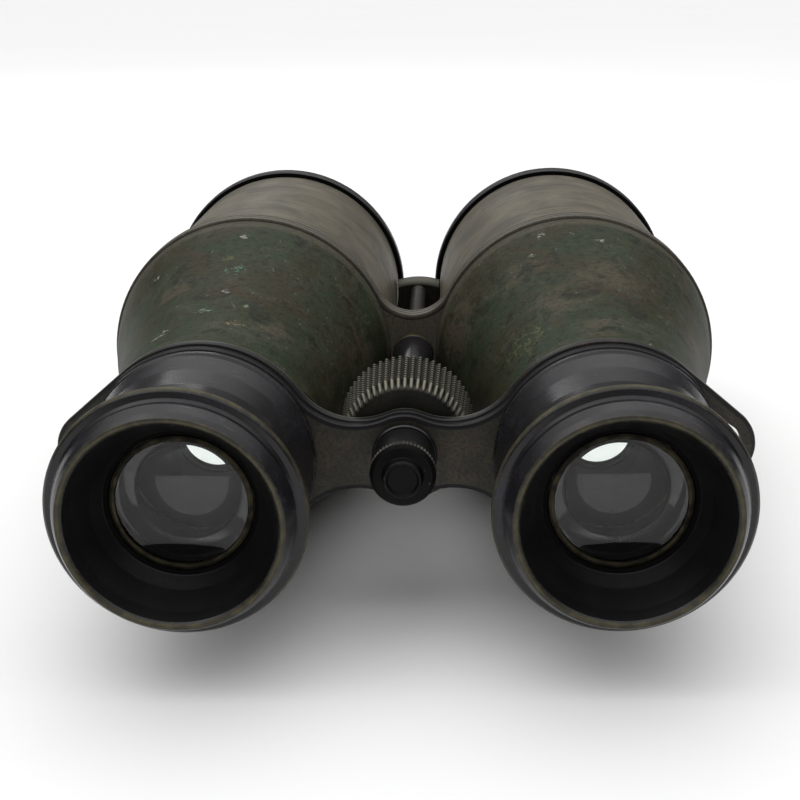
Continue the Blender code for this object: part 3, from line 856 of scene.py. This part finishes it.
# ---------------------------------------------------------------- eyepiece carriage
@dataclass
class Eyecup:
    """One turned eyecup with its lens and the thin ring that holds the lens."""

    side: Side
    lens_r: float = 10.3
    lens_curve: float = 33.0
    lens_near: float = 4.4
    lens_far: float = 8.3
    ring_brass: BareBrass = BareBrass("lens_ring_brass", light=(0.034, 0.029, 0.017),
                                      dull=(0.008, 0.007, 0.005))

    def build(self) -> None:
        """Makes the cup, the ring and the lens."""
        paired(self.side, "cup", Body.EYEPIECES, (Lacquer(), BOWL_BLACK, TUBE_BLACK),
               "eyecup").turn(self.cup(), 160)
        paired(self.side, "lens_ring", Body.EYEPIECES, (self.ring_brass,), "eye_lens_ring").turn(
            ((4.1, 10.62), (3.62, 10.62, 0.15), (3.5, 10.1, 0.15), (3.62, 9.7, 0.15), (4.1, 9.7)))
        paired(self.side, "ocular", Body.EYEPIECES, (LensGlass(),), "eye_lens", 30.0).turn(
            lens_profile(self.lens_near, self.lens_far, self.lens_r, self.lens_curve, 10), 96, False)

    def cup(self) -> list[Row]:
        """The cup's profile, from the lip round the outside and back through the bowl."""
        return [
            (-4.72, 15.62, 0.25, 0.60), (-4.70, 16.12, 0.3, 0.50),
            (-3.7, 16.78, 1.2), (-2.1, 17.40, 0.9), (-1.15, 17.35, 0.1),
            (-0.75, 17.75, 0.15, 0.10), (-0.62, 18.60, 0.3, 0.36),
            (-0.2, 19.05, 0.35, 0.60), (0.48, 19.05, 0.25, 0.55),
            (0.75, 18.2, 0.25, 0.1), (1.35, 17.35, 0.8),
            (5.0, 16.55, 3.0), (10.0, 16.35, 3.0), (15.5, 16.85, 3.0),
            (19.4, 17.72, 0.6), (20.0, 17.6, 0.12), (20.3, 17.98, 0.2, 0.42),
            (21.25, 17.98, 0.15, 0.2, 2), (21.25, 15.2, 0.0, 0.0, 2),
            (1.2, 15.2, 0.0, 0.0, 2), (4.8, 11.9, 0.0, 0.0, 2),
            (9.6, 11.9, 0.0, 0.0, 2), (9.6, 8.15, 0.2, 0.0, 2),
            (8.62, 8.15, 0.2, 0.0, 2), (8.62, 10.65, 0.0, 0.0, 2),
            (4.15, 10.65, 0.0, 0.0, 2), (3.6, 10.75, 0.2, 0.0, 2),
            (3.35, 11.4, 0.5, 0.0, 1), (1.2, 12.75, 2.2, 0.0, 1),
            (-2.4, 14.45, 2.5, 0.0, 1), (-4.2, 15.15, 0.5, 0.40),
        ]


@dataclass
class EyepieceBridge:
    """The sliding plate with its draw tubes, spindle, knob and washer."""

    y0: float = 21.6
    y1: float = 23.4
    bore_r: float = 16.2
    tube_end: float = 57.9
    tube_r: tuple[float, float] = (15.0, 15.9)
    outline: WaistedOutline = field(default_factory=lambda: WaistedOutline(18.2))
    edge: Lacquer = Lacquer("plate_lacquer", gloss=0.30, haze=(0.013, 0.012, 0.012), specular=0.18)
    knob_black: Lacquer = Lacquer("knob_lacquer", gloss=0.40, black=(0.0022, 0.0022, 0.0022),
                                  haze=(0.006, 0.006, 0.005), bare=(0.085, 0.08, 0.065),
                                  tarnish=(0.045, 0.04, 0.032), specular=0.10)

    @property
    def middle(self) -> tuple[float, float, float]:
        """Where the spindle passes through the plate."""
        return (0.0, self.y0, OPTICS.spindle_z)

    def build(self) -> None:
        """Makes every piece of the carriage but the eyecups."""
        y0, y1 = self.y0, self.y1
        plate = Piece("bridge_plate", Body.EYEPIECES, (DarkBrass("bridge_brass"), self.edge),
                      ("eyepiece_bridge",), (0.0, y0, 0.0), 30.0)
        PlateWork(plate, self.outline, (
            (y0, -0.45, 0.05, 1), (y0 + 0.12, -0.18, 0.15, 1), (y0 + 0.4, 0.0, 0.05, 1),
            (y1 - 0.3, 0.0, 0.0, 1), (y1 - 0.08, -0.12, 0.2, 1), (y1, -0.3, 0.0, 1),
        ), both_bores(self.bore_r) + [circle((0.0, OPTICS.spindle_z), 2.7, 48)]).build()
        self.spindle()
        self.knob()
        inner, outer = self.tube_r
        for side in Side:
            paired(side, "slide_tube", Body.EYEPIECES, (BareBrass(), TUBE_BLACK), "draw_tube").turn(
                ((y0, inner), (y0, outer), (self.tube_end, outer, 0.2, 0.0, 1),
                 (self.tube_end, inner + 0.05, 0.2, 0.0, 1)))

    def spindle(self, first: float = 26.2, last: float = 70.8, pitch: float = 0.9,
                crest: float = 2.38, root: float = 2.12) -> None:
        """The screwed spindle and the washer behind the knob.

        Args:
            first: where the first thread is.
            last: where the threads stop.
            pitch: from one thread to the next.
            crest: radius over the threads.
            root: radius between them.
        """
        thread: list[Row] = [(13.65, 0.0), (13.65, 2.35), (first - 0.3, crest, 0.1)]
        y = first
        while y < last:
            thread += [(y, crest, 0.08), (y + pitch / 2.0, root, 0.08)]
            y += pitch
        thread += [(71.4, crest, 0.1), (71.95, 1.8, 0.1), (71.95, 0.0)]
        Piece("screwed_spindle", Body.EYEPIECES, (ScrewSteel(),), ("spindle",), self.middle).turn(
            thread, 48, False)
        Piece("bridge_washer", Body.EYEPIECES, (Lacquer(),), ("knob_washer",), self.middle).turn(
            ((20.5, 2.7), (20.5, 5.0, 0.15, 0.3), (20.75, 5.18, 0.15, 0.3), (21.28, 5.18, 0.1),
             (21.28, 2.7)), 96)

    def knob(self, teeth: int = 54, notch: float = 0.22) -> None:
        """The end knob: knurled rim, sloping face and a flat-topped boss.

        Args:
            teeth: how many notches the knurling has.
            notch: how deep they are.
        """
        def knurl(angle: float, y: float, r: float) -> float:
            """Fine notches round the rim."""
            if not 12.85 < y < 13.95 or r < 4.9:
                return r
            return r - notch * (0.5 - 0.5 * math.cos(angle * teeth))

        Piece("end_knob", Body.EYEPIECES, (self.knob_black,), ("spindle_knob",), self.middle).turn(
            ((10.75, 0.0), (10.75, 2.25, 0.15), (10.42, 2.45, 0.1, 0.35), (10.42, 2.85, 0.15, 0.40),
             (10.75, 3.0, 0.2, 0.2), (12.05, 3.05, 0.3), (12.4, 4.5, 0.3), (12.75, 5.05, 0.1, 0.3),
             (12.9, 5.14, 0.0, 0.55), (13.4, 5.14, 0.0, 0.62), (13.9, 5.14, 0.0, 0.55),
             (14.2, 5.1, 0.1, 0.2), (14.45, 4.92, 0.15), (20.15, 4.92, 0.2), (20.15, 2.7),
             (13.35, 2.7), (13.35, 0.0)), teeth * 4, False, knurl)


# ---------------------------------------------------------------- focusing wheel
@dataclass
class FocusWheel:
    """The milled wheel: long teeth cut across by grooves into rows of beads.

    `nose` and `bead` list steps over the sloping nose and over one bead, each as its share of
    the way along, the tooth's height there and how pale it is: partly rubbing on the crests,
    partly painted highlight on the bead tops, which are paler than their near faces.
    """

    teeth: int = 60
    rows: int = 10
    y0: float = 25.8
    y1: float = 39.0
    bevel: tuple[float, float] = (0.25, 0.3)
    near_r: float = 9.62
    break_y: float = 28.8
    break_r: float = 10.62
    far_r: float = 11.32
    depth: float = 0.60
    face_r: float = 9.28
    bore_r: float = 4.95
    pan: tuple[float, float, float] = (30.05, 6.3, 9.15)
    across: tuple[float, ...] = (-0.5, -0.36, -0.2, 0.0, 0.2, 0.36)
    nose: tuple[Row, ...] = ((0.0, 0.25, 0.5), (0.25, 0.55, 0.8), (0.6, 0.85, 0.85), (0.9, 1.0, 0.85),
                             (0.98, 0.7, 0.5))
    # Each bead is pale on its top and dark on its near face: worn crests, and painted highlight where the
    # top catches the light.
    bead: tuple[Row, ...] = ((0.0, 0.0, 0.0), (0.34, 0.0, 0.0), (0.42, 0.8, 0.0), (0.58, 1.0, 1.0),
                             (0.80, 0.95, 1.0), (0.94, 0.1, 0.0))
    brass: DarkBrass = DarkBrass("wheel_brass", body=(0.012, 0.012, 0.009),
                                 brown=(0.020, 0.018, 0.012), black=(0.005, 0.005, 0.004),
                                 red=(0.022, 0.014, 0.010), bare=(0.165, 0.16, 0.118),
                                 roughness=0.42, specular=0.25)

    def build(self) -> None:
        """Makes the wheel and its threaded bush."""
        around = [(tooth + t) / self.teeth for tooth in range(self.teeth) for t in self.across]
        crests = [1.0 - (2.0 * abs(t)) ** 1.7 for _ in range(self.teeth) for t in self.across]
        stations = self.stations()
        points: list[Row] = []
        wear: list[float] = []
        for y, base, rise, pale_share in stations:
            for turn, crest in zip(around, crests):
                r = base + rise * crest
                points.append((r * math.cos(math.tau * turn), y - self.y0,
                               r * math.sin(math.tau * turn)))
                # Crests paler than the roots: partly rubbing, partly painted highlight.
                wear.append(pale_share * crest ** 2)
        count = len(around)
        faces = [(a * count + k, a * count + (k + 1) % count,
                  b * count + (k + 1) % count, b * count + k)
                 for a, b in ((i, (i + 1) % len(stations)) for i in range(len(stations)))
                 for k in range(count)]
        centre = (0.0, self.y0, OPTICS.spindle_z)
        Piece("milled_wheel", Body.WHEEL, (self.brass,), ("focus_wheel",), centre, 75.0).build(
            points, faces, wear, [0] * len(faces))
        Piece("threaded_bush", Body.WHEEL, (BareBrass(),), ("wheel_bush",), centre).turn(
            ((26.1, 2.7), (26.1, 4.6, 0.2), (38.7, 4.6, 0.2), (38.7, 2.7)), 64)

    def crest(self, y: float) -> float:
        """Radius over the teeth at `y`."""
        start, end = self.y0 + self.bevel[0], self.y1 - self.bevel[1]
        if y < self.break_y:
            return self.near_r + (self.break_r - self.near_r) * (y - start) / (self.break_y - start)
        share = (y - self.break_y) / (end - self.break_y)
        return self.break_r + (self.far_r - self.break_r) * share

    def stations(self) -> list[Row]:
        """Steps over the wheel from its bore and back.

        Returns:
            (y, root radius, tooth height, paleness from rubbing and painted highlight) of each step.
        """
        start, end = self.y0 + self.bevel[0], self.y1 - self.bevel[1]
        pan_y, pan_inner, pan_outer = self.pan
        made: list[Row] = [(self.y0, self.bore_r, 0.0, 0.0), (self.y0, 8.2, 0.0, 0.0),
                           (self.y0 + 0.04, self.face_r, 0.0, 0.1)]
        for share, height, pale_share in self.nose:
            y = start + share * (self.break_y - start)
            made.append((y, self.crest(y) - self.depth * max(height, 0.25), self.depth * height, pale_share))
        pitch = (end - self.break_y) / self.rows
        for row in range(self.rows):
            for share, height, pale_share in self.bead:
                y = self.break_y + (row + share) * pitch
                made.append((y, self.crest(y) - self.depth * 1.2,
                             self.depth * (0.12 + 1.08 * height), pale_share))
        return made + [
            (end, self.far_r - self.depth, self.depth * 0.3, 0.2), (self.y1 - 0.02, 10.5, 0.05, 0.1),
            (self.y1, pan_outer + 0.25, 0.0, 0.0), (pan_y, pan_outer, 0.0, 0.0),
            (pan_y, pan_inner, 0.0, 0.0), (self.y1, pan_inner, 0.0, 0.0),
            (self.y1, self.bore_r, 0.0, 0.0)]


# ---------------------------------------------------------------- fixed frame
@dataclass
class RearPlate:
    """The fixed plate behind the eyecups, drawn out at both ends into strap ears."""

    y0: float = 23.7
    y1: float = 25.5
    ring_r: float = 18.5
    bore_r: float = 16.2
    nose_x: float = 17.5
    nose_z: float = 0.9
    nose_r: float = 6.5
    strip: float = 2.25
    ear_end: float = 2.6
    # Its pale bare tone makes the far edge's line: partly rubbed brass, partly painted highlight.
    edge: DarkBrass = DarkBrass("plate_edge", body=(0.017, 0.017, 0.017), brown=(0.022, 0.020, 0.018),
                                roughness=0.34, bare=(0.19, 0.185, 0.16), specular=0.25)

    def build(self) -> None:
        """Makes the plate and the two guide sleeves."""
        y0, y1 = self.y0, self.y1
        plate = Piece("ear_plate", Body.FRAME, (DarkBrass("plate_brass"), self.edge),
                      ("rear_plate",), (0.0, y0, 0.0), 30.0)
        outline = WaistedOutline(self.ring_r, nose_x=self.nose_x, nose_z=self.nose_z, nose_r=self.nose_r)
        # The pale line along the far edge is partly rubbed brass, partly a painted highlight on the rounded
        # edge.
        PlateWork(plate, outline, (
            (y0, -0.35, 0.05, 1), (y0 + 0.1, -0.12, 0.15, 1), (y0 + 0.35, 0.0, 0.05, 1),
            (y1 - 0.6, 0.0, 0.1, 1), (y1 - 0.32, 0.0, 0.85, 1), (y1 - 0.1, -0.06, 0.85, 1),
            (y1, -0.30, 0.5, 1),
        ), both_bores(self.bore_r) + [circle((0.0, OPTICS.spindle_z), 2.9, 48)]
            + [self.slot(side) for side in Side]).build()
        for side in Side:
            paired(side, "sleeve", Body.FRAME, (BareBrass(),), "guide_sleeve").turn(
                ((25.8, 16.2), (25.8, 16.8), (36.95, 16.8, 0.1), (36.95, 16.25, 0.1)), 96)

    def slot(self, side: Side) -> Loop:
        """The strap slot in one ear, between the ring and the strip of metal."""
        inner = self.nose_r - self.strip
        tangent = math.acos((self.ring_r - self.nose_r) / self.nose_x)
        outer = arc((self.nose_x, self.nose_z), inner, -tangent, tangent, 20)
        ends = [(x - self.ear_end * math.sin(tangent), z + sign * self.ear_end * math.cos(tangent))
                for (x, z), sign in ((outer[-1], 1.0), (outer[0], -1.0))]
        wall = arc((0.0, 0.0), self.ring_r + 0.4, math.atan2(ends[0][1], ends[0][0]),
                   math.atan2(ends[1][1], ends[1][0]), 16)
        return [(side.value * (OPTICS.axis_x + x), z) for x, z in outer + wall]


@dataclass
class Bell:
    """The barrel's long curve: a hollow flare that leans out slowly, then a round shoulder."""

    y0: float = 25.85
    r0: float = 18.15
    lean: float = 2.0
    turn_y: float = 67.0
    turn_r: float = 25.05
    y1: float = 77.65
    r1: float = 27.5

    def bend(self, start: tuple[float, float], heading: float, end: tuple[float, float],
             steps: int) -> tuple[Loop, float]:
        """An arc that leaves `start` at `heading`.

        Args:
            start: (y, radius) of its first point.
            heading: its direction there, in radians from +Y.
            end: (y, radius) of its last point.
            steps: how many pieces it has.

        Returns:
            The points after `start`, and the heading at the end.
        """
        half = math.atan2(end[1] - start[1], end[0] - start[0]) - heading
        radius = math.dist(start, end) / (2.0 * math.sin(half))
        turns = [heading + 2.0 * half * i / steps for i in range(1, steps + 1)]
        return [(start[0] + radius * (math.sin(t) - math.sin(heading)),
                 start[1] + radius * (math.cos(heading) - math.cos(t))) for t in turns], turns[-1]

    def wall(self, depth: float) -> Loop:
        """The curve at `depth` inside the outer surface, from the wheel end forward."""
        start, turn = (self.y0, self.r0 - depth), (self.turn_y, self.turn_r - depth)
        flare, heading = self.bend(start, math.radians(self.lean), turn, 32)
        shoulder, _ = self.bend(turn, heading, (self.y1, self.r1 - depth), 10)
        return [start] + flare + shoulder


@dataclass
class Barrel:
    """One spun barrel shell, painted, dented and stained."""

    side: Side
    marks: tuple[tuple[float, float, float, Colour], ...] = ()
    bare_places: tuple[tuple[float, float, float], ...] = ()
    bell: Bell = field(default_factory=Bell)
    thickness: float = 0.7
    steady: tuple[float, float] = (27.0, 75.0)
    rub_from: float = 73.5

    def surface(self, y: float, degrees: float) -> Vector:
        """A point on the shell's outside, from the shell's own centre; 90 degrees is the top."""
        r = min(self.bell.wall(0.0), key=lambda point: abs(point[0] - y))[1]
        turn = math.radians(degrees)
        return Vector((r * math.cos(turn), y, r * math.sin(turn))) * MM

    def build(self) -> None:
        """Makes the shell."""
        seed = Vector((0.0, 3.1, 7.7)) * self.side.value
        inside = self.bell.r0 - self.thickness + 0.01

        def dents(angle: float, y: float, r: float) -> float:
            """The shell is a little out of true, with soft dents."""
            if r <= inside:
                return r
            at = Vector((r * math.cos(angle), y, r * math.sin(angle)))
            broad = noise.noise(at * 0.045 + seed)
            small = noise.noise(at * 0.17 + seed)
            fade = min(1.0, max(0.0, (y - self.steady[0]) / 6.0), max(0.0, (self.steady[1] - y) / 5.0))
            return r - fade * (0.08 * (broad + 0.6) + 0.04 * (small + 0.5))

        paint = MottledPaint(
            self.side.label + "_paint",
            tuple((self.surface(y, turn), reach, tint) for y, turn, reach, tint in self.marks),
            tuple((self.surface(y, turn), reach) for y, turn, reach in self.bare_places))
        outer = [(y, r, 0.0, min(1.0, max(0.0, (y - self.rub_from) / 1.5)) * 0.55)
                 for y, r in self.bell.wall(0.0)]
        lining = [(y, r, 0.0, 0.0, 1) for y, r in reversed(self.bell.wall(self.thickness))]
        paired(self.side, "shell", Body.FRAME, (paint, TUBE_BLACK), "barrel_shell").turn(
            outer + lining, 180, True, dents)


@dataclass
class MiddleBridge:
    """The wide cast ring pair and web in front of the wheel, and the hub column."""

    y0: float = 78.0
    y1: float = 82.2
    ring_r: float = 28.13
    bore_r: float = 25.7
    valley_r: float = 7.7
    grooves: tuple[float, float] = (79.3, 80.9)
    web: DarkBrass = DarkBrass("web_brass", body=(0.085, 0.080, 0.062), brown=(0.10, 0.085, 0.062),
                               black=(0.030, 0.029, 0.023), metal=0.15)
    band: DarkBrass = DarkBrass("band_brass", body=(0.040, 0.037, 0.028), brown=(0.058, 0.048, 0.036),
                                black=(0.012, 0.012, 0.010), bare=(0.125, 0.115, 0.092))

    def outline(self, out: float) -> Loop:
        """Two rings joined by a web with round valleys."""
        axis = OPTICS.axis_x
        reach = self.ring_r + self.valley_r
        height = math.sqrt(reach * reach - axis * axis)
        turn = math.atan2(height, axis)
        span = math.pi - turn
        ring = arc((axis, 0.0), self.ring_r + out, -span, span, 120)
        valley = arc((0.0, height), self.valley_r - out, -turn, -math.pi + turn, 24)[1:-1]
        return ring + valley + [(-x, -z) for x, z in ring] + [(-x, -z) for x, z in valley]

    def build(self) -> None:
        """Makes the bridge with its bead lines, and the hub column."""
        y0, y1 = self.y0, self.y1
        piece = Piece("middle_web", Body.FRAME, (self.web, self.band), ("middle_bridge",),
                      (0.0, y0, 0.0), 34.0)
        steps: list[Row] = [(y0, -0.75, 0.0, 1), (y0 + 0.1, -0.35, 0.2, 1), (y0 + 0.35, -0.04, 0.65, 1)]
        for groove in self.grooves:
            steps += [(groove + step, out, wear, 1) for step, out, wear in (
                (-0.35, 0.0, 0.6), (-0.16, -0.12, 0.0), (0.0, -0.38, 0.0), (0.16, -0.12, 0.0),
                (0.35, 0.0, 0.6))]
        steps += [(y1 - 0.45, 0.0, 0.5, 1), (y1 - 0.12, -0.2, 0.5, 1), (y1, -0.6, 0.1, 1)]
        PlateWork(piece, self.outline, steps, both_bores(self.bore_r, 120)).build()
        Piece("hub", Body.FRAME, (Lacquer("hub_lacquer", gloss=0.22),), ("hub_column",),
              (0.0, y0, OPTICS.spindle_z)).turn(
            ((39.35, 2.92), (39.35, 3.9, 0.3), (75.6, 3.9, 0.2), (76.0, 3.95, 0.1, 0.3),
             (76.3, 4.08, 0.1, 0.85), (77.65, 4.08, 0.1, 0.7), (77.65, 2.92)), 72)


@dataclass
class FrontTube:
    """One front tube with its black rim, front lens and the ring behind the lens."""

    side: Side
    lens_r: float = 24.1
    lens_curve: float = 170.0
    lens_near: float = 132.3
    lens_far: float = 138.3

    def build(self) -> None:
        """Makes the four pieces."""
        paired(self.side, "tube", Body.FRAME, (SatinTube(), TUBE_BLACK), "front_tube").turn(
            ((82.55, 25.75, 0.0, 0.0, 1), (82.55, 26.88, 0.1), (90.0, 26.86), (110.0, 26.84),
             (130.0, 26.86), (137.85, 26.88, 0.1, 0.0, 1), (137.85, 25.75, 0.0, 0.0, 1)), 180)
        paired(self.side, "rim", Body.FRAME, (Lacquer("rim_lacquer", gloss=0.30), TUBE_BLACK),
               "objective_rim").turn(
            ((141.88, 25.7, 0.2), (141.88, 27.7, 0.3, 0.35), (141.4, 28.12, 0.3, 0.45),
             (138.75, 28.12, 0.25, 0.40), (138.22, 27.75, 0.2, 0.2, 1), (138.22, 25.38, 0.0, 0.0, 1),
             (116.05, 25.38, 0.0, 0.0, 1), (116.05, 24.42, 0.0, 0.0, 1), (138.6, 24.42, 0.0, 0.0, 1),
             (138.6, 23.45), (140.0, 23.65, 0.3)), 180)
        paired(self.side, "lens_keeper", Body.FRAME, (TUBE_BLACK,), "objective_retainer").turn(
            ((127.35, 22.95, 0.2), (127.35, 24.08), (131.75, 24.08), (131.75, 22.95, 0.2)))
        paired(self.side, "objective", Body.FRAME, (LensGlass(),), "objective_lens", 30.0).turn(
            lens_profile(self.lens_far, self.lens_near, self.lens_r, self.lens_curve, 12), 120, False)


@dataclass
class FrontBridge:
    """The small bar between the front tubes and the rod that ties it to the middle bridge."""

    y0: float = 128.0
    y1: float = 131.6
    half_height: float = 3.2
    crown: float = 0.8
    tube_gap_r: float = 27.2
    rod_r: float = 1.75
    rod_end_r: float = 1.98
    bar_brass: DarkBrass = DarkBrass("front_brass", body=(0.016, 0.016, 0.012), brown=(0.022, 0.019, 0.013),
                                     black=(0.008, 0.008, 0.006), bare=(0.085, 0.082, 0.066), specular=0.2)
    rod_brass: DarkBrass = DarkBrass("rod_brass", body=(0.02, 0.02, 0.017), brown=(0.03, 0.027, 0.02))

    def outline(self, out: float) -> Loop:
        """A bar with hollow ends that follow the two tubes."""
        half_height = self.half_height + out
        foot = self.half_height + self.crown + 0.3 * out
        end = arc((OPTICS.axis_x, 0.0), self.tube_gap_r, math.pi + math.asin(foot / self.tube_gap_r),
                  math.pi - math.asin(half_height / self.tube_gap_r), 16)
        reach = end[-1][0]
        crown_r = (reach ** 2 + self.crown ** 2) / (2.0 * self.crown)
        spread = math.asin(reach / crown_r)
        top = arc((0.0, half_height + self.crown - crown_r), crown_r,
                  math.pi / 2.0 - spread, math.pi / 2.0 + spread, 16)[1:-1]
        return end + top + [(-x, z) for x, z in reversed(end)]

    def build(self) -> None:
        """Makes the bar and the rod."""
        y0, y1, rod, end = self.y0, self.y1, self.rod_r, self.rod_end_r
        piece = Piece("front_bar", Body.FRAME, (self.bar_brass,), ("front_bridge",), (0.0, y0, 0.0), 34.0)
        # The pale near edge and top are partly rubbed brass, partly painted highlight on the band that
        # catches the light.
        PlateWork(piece, self.outline, (
            (y0, -1.3, 0.6), (y0 + 0.25, -0.7, 0.8), (y0 + 0.75, -0.2, 0.8), (y0 + 1.4, 0.0, 0.7),
            (y1 - 0.9, 0.0, 0.5), (y1 - 0.3, -0.25, 0.3), (y1, -0.7, 0.1),
        )).build()
        Piece("tie", Body.FRAME, (self.rod_brass,), ("tie_rod",), (0.0, 82.2, OPTICS.spindle_z)).turn(
            ((82.55, 0.0), (82.55, end - 0.03, 0.1), (84.0, end, 0.1), (84.6, rod, 0.3),
             (126.0, rod, 0.3), (126.6, end, 0.1), (127.65, end - 0.03, 0.1), (127.65, 0.0)), 48, False)


# ---------------------------------------------------------------- studio
@dataclass(frozen=True)
class Lamp:
    """One rectangular soft light: where it stands and its sides in metres, its power in watts."""

    name: str
    at: tuple[float, float, float]
    size: tuple[float, float]
    power: float


@dataclass(frozen=True)
class Studio:
    """Camera, pale floor and soft lights.

    The eye is in optical-frame millimetres and the angles in degrees.  `surround` says between
    which heights of the sky its strength climbs, and from what to what.
    """

    eye: tuple[float, float, float] = (6.9, -161.6, 72.0)
    pitch: float = 19.49
    yaw: float = -0.88
    roll: float = -0.59
    lens: float = 55.73
    shift: tuple[float, float] = (-0.0375, 0.01875)
    surround: tuple[float, float, float, float] = (0.22, 0.85, 0.09, 1.50)
    floor_tones: tuple[float, float] = (0.89, 0.92)
    aim: tuple[float, float, float] = (0.0, 0.0, 0.03)
    lamps: tuple[Lamp, ...] = (
        Lamp("overhead", (-0.10, 0.10, 1.30), (1.2, 0.8), 2.0),
        Lamp("left_key", (-0.70, -0.20, 1.10), (0.6, 0.6), 1.3),
        Lamp("back_strip", (-0.32, 1.20, 0.52), (0.42, 0.09), 0.35),
    )

    def camera(self) -> None:
        """Sets up the camera."""
        data = bpy.data.cameras.new("camera")
        data.lens = self.lens
        data.shift_x, data.shift_y = self.shift
        data.clip_start, data.clip_end = 0.01, 60.0
        item = bpy.data.objects.new("camera", data)
        bpy.context.scene.collection.objects.link(item)
        p, y, r = (math.radians(v) for v in (self.pitch, self.yaw, self.roll))
        ahead = Vector((math.sin(y) * math.cos(p), math.cos(y) * math.cos(p), -math.sin(p)))
        right = Vector((math.cos(y), -math.sin(y), 0.0))
        up = right.cross(ahead)
        across = right * math.cos(r) + up * math.sin(r)
        above = up * math.cos(r) - right * math.sin(r)
        turn = Matrix((across, above, -ahead)).transposed()
        item.matrix_world = Matrix.Translation(OPTICS.at(*self.eye)) @ turn.to_4x4()
        bpy.context.scene.camera = item

    def floor(self) -> None:
        """A wide plain pale floor."""
        data = bmesh.new()
        bmesh.ops.create_circle(data, cap_ends=True, radius=14.0, segments=64)
        mesh = bpy.data.meshes.new("floor")
        data.to_mesh(mesh)
        data.free()
        brush = Brush("floor_paper")
        low, high = ((tone,) * 3 for tone in self.floor_tones)
        mesh.materials.append(brush.finish(brush.blend(brush.grain(400.0, 2.0), low, high), 0.7, 0.0))
        item = bpy.data.objects.new("floor", mesh)
        bpy.context.scene.collection.objects.link(item)
        item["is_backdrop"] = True

    def softbox(self, lamp: Lamp) -> None:
        """Sets one lamp up, facing the glass."""
        data = bpy.data.lights.new(lamp.name, "AREA")
        data.shape = "RECTANGLE"
        data.size, data.size_y = lamp.size
        data.energy = lamp.power
        item = bpy.data.objects.new(lamp.name, data)
        bpy.context.scene.collection.objects.link(item)
        item.location = lamp.at
        item.rotation_mode = "QUATERNION"
        item.rotation_quaternion = (Vector(self.aim) - Vector(lamp.at)).to_track_quat("-Z", "Y")

    def lights(self) -> None:
        """A surround that is bright overhead and dim along the horizon, and soft lamps."""
        world = bpy.data.worlds.new("surround")
        world.use_nodes = True
        nodes, links = world.node_tree.nodes, world.node_tree.links
        height = nodes.new("ShaderNodeSeparateXYZ")
        links.new(nodes.new("ShaderNodeTexCoord").outputs["Generated"], height.inputs[0])
        climb = nodes.new("ShaderNodeMapRange")
        climb.interpolation_type = "SMOOTHSTEP"
        for key, value in zip(("From Min", "From Max", "To Min", "To Max"), self.surround):
            climb.inputs[key].default_value = value
        links.new(height.outputs["Z"], climb.inputs["Value"])
        links.new(climb.outputs["Result"], nodes["Background"].inputs["Strength"])
        nodes["Background"].inputs["Color"].default_value = (1.0, 1.0, 1.0, 1.0)
        bpy.context.scene.world = world
        for lamp in self.lamps:
            self.softbox(lamp)

    def build(self) -> None:
        """Sets the whole studio up."""
        self.camera()
        self.floor()
        self.lights()
        bpy.context.scene.view_settings.view_transform = "Standard"


VERDIGRIS: Colour = (0.075, 0.170, 0.115)
PALE_GREEN: Colour = (0.150, 0.190, 0.145)
YELLOW_GREEN: Colour = (0.068, 0.076, 0.034)
BLUE_GREEN: Colour = (0.028, 0.041, 0.027)
OCHRE: Colour = (0.190, 0.140, 0.060)
CHIP_DARK: Colour = (0.012, 0.012, 0.010)
CHIP_PALE: Colour = (0.250, 0.245, 0.220)
ROSE_BROWN: Colour = (0.062, 0.043, 0.033)

# Stains and chips as (y, degrees round the barrel with 90 at the top, reach, colour).
LEFT_MARKS = (
    (57.5, 88.0, 3.4, VERDIGRIS), (62.2, 93.3, 2.0, YELLOW_GREEN), (48.9, 90.2, 1.8, CHIP_PALE),
    (41.1, 96.1, 2.2, PALE_GREEN), (43.6, 79.8, 2.4, PALE_GREEN), (35.9, 77.8, 2.6, OCHRE),
    (35.0, 117.2, 2.6, CHIP_PALE), (72.2, 103.1, 2.0, CHIP_DARK), (70.5, 88.6, 1.6, CHIP_PALE),
    (58.6, 46.5, 11.0, BLUE_GREEN), (48.1, 32.4, 10.0, BLUE_GREEN), (66.0, 130.0, 2.2, CHIP_PALE),
    (50.0, 200.0, 4.0, VERDIGRIS), (60.0, 285.0, 5.0, OCHRE),
)
LEFT_BARE = ((61.1, 15.3, 13.0), (55.0, 118.0, 9.0), (38.0, 60.0, 8.0), (68.0, 230.0, 12.0))
RIGHT_MARKS = (
    (72.4, 106.2, 1.5, CHIP_PALE), (68.5, 81.9, 1.6, CHIP_PALE), (70.6, 94.0, 1.2, CHIP_PALE),
    (66.0, 112.0, 1.3, CHIP_PALE), (36.5, 127.3, 9.0, YELLOW_GREEN), (32.0, 111.9, 8.0, BLUE_GREEN),
    (66.5, 167.3, 8.0, ROSE_BROWN), (45.8, 51.7, 3.0, YELLOW_GREEN), (25.9, 67.5, 3.0, PALE_GREEN),
    (55.0, 330.0, 4.0, VERDIGRIS), (48.0, 250.0, 5.0, OCHRE),
)
RIGHT_BARE = ((61.6, 120.6, 9.0), (55.2, 80.6, 11.0), (46.2, 106.5, 11.0), (31.8, 91.5, 8.0),
              (66.5, 160.0, 14.0), (52.0, 20.0, 10.0), (70.0, 300.0, 12.0))


def main() -> None:
    """Builds every sub-assembly in order."""
    logging.basicConfig(level=logging.INFO, format="%(name)s: %(message)s")
    Studio().build()
    for side in Side:
        Eyecup(side).build()
    EyepieceBridge().build()
    RearPlate().build()
    FocusWheel().build()
    Barrel(Side.LEFT, LEFT_MARKS, LEFT_BARE).build()
    Barrel(Side.RIGHT, RIGHT_MARKS, RIGHT_BARE).build()
    MiddleBridge().build()
    for side in Side:
        FrontTube(side).build()
    FrontBridge().build()
    boxes = {"cad": CAD_BOX, "visual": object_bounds()}
    for key, (low, high) in boxes.items():
        LOG.info("%s box %s", key, [round(v, 5) for v in (high - low)])


if __name__ == "__main__":
    main()
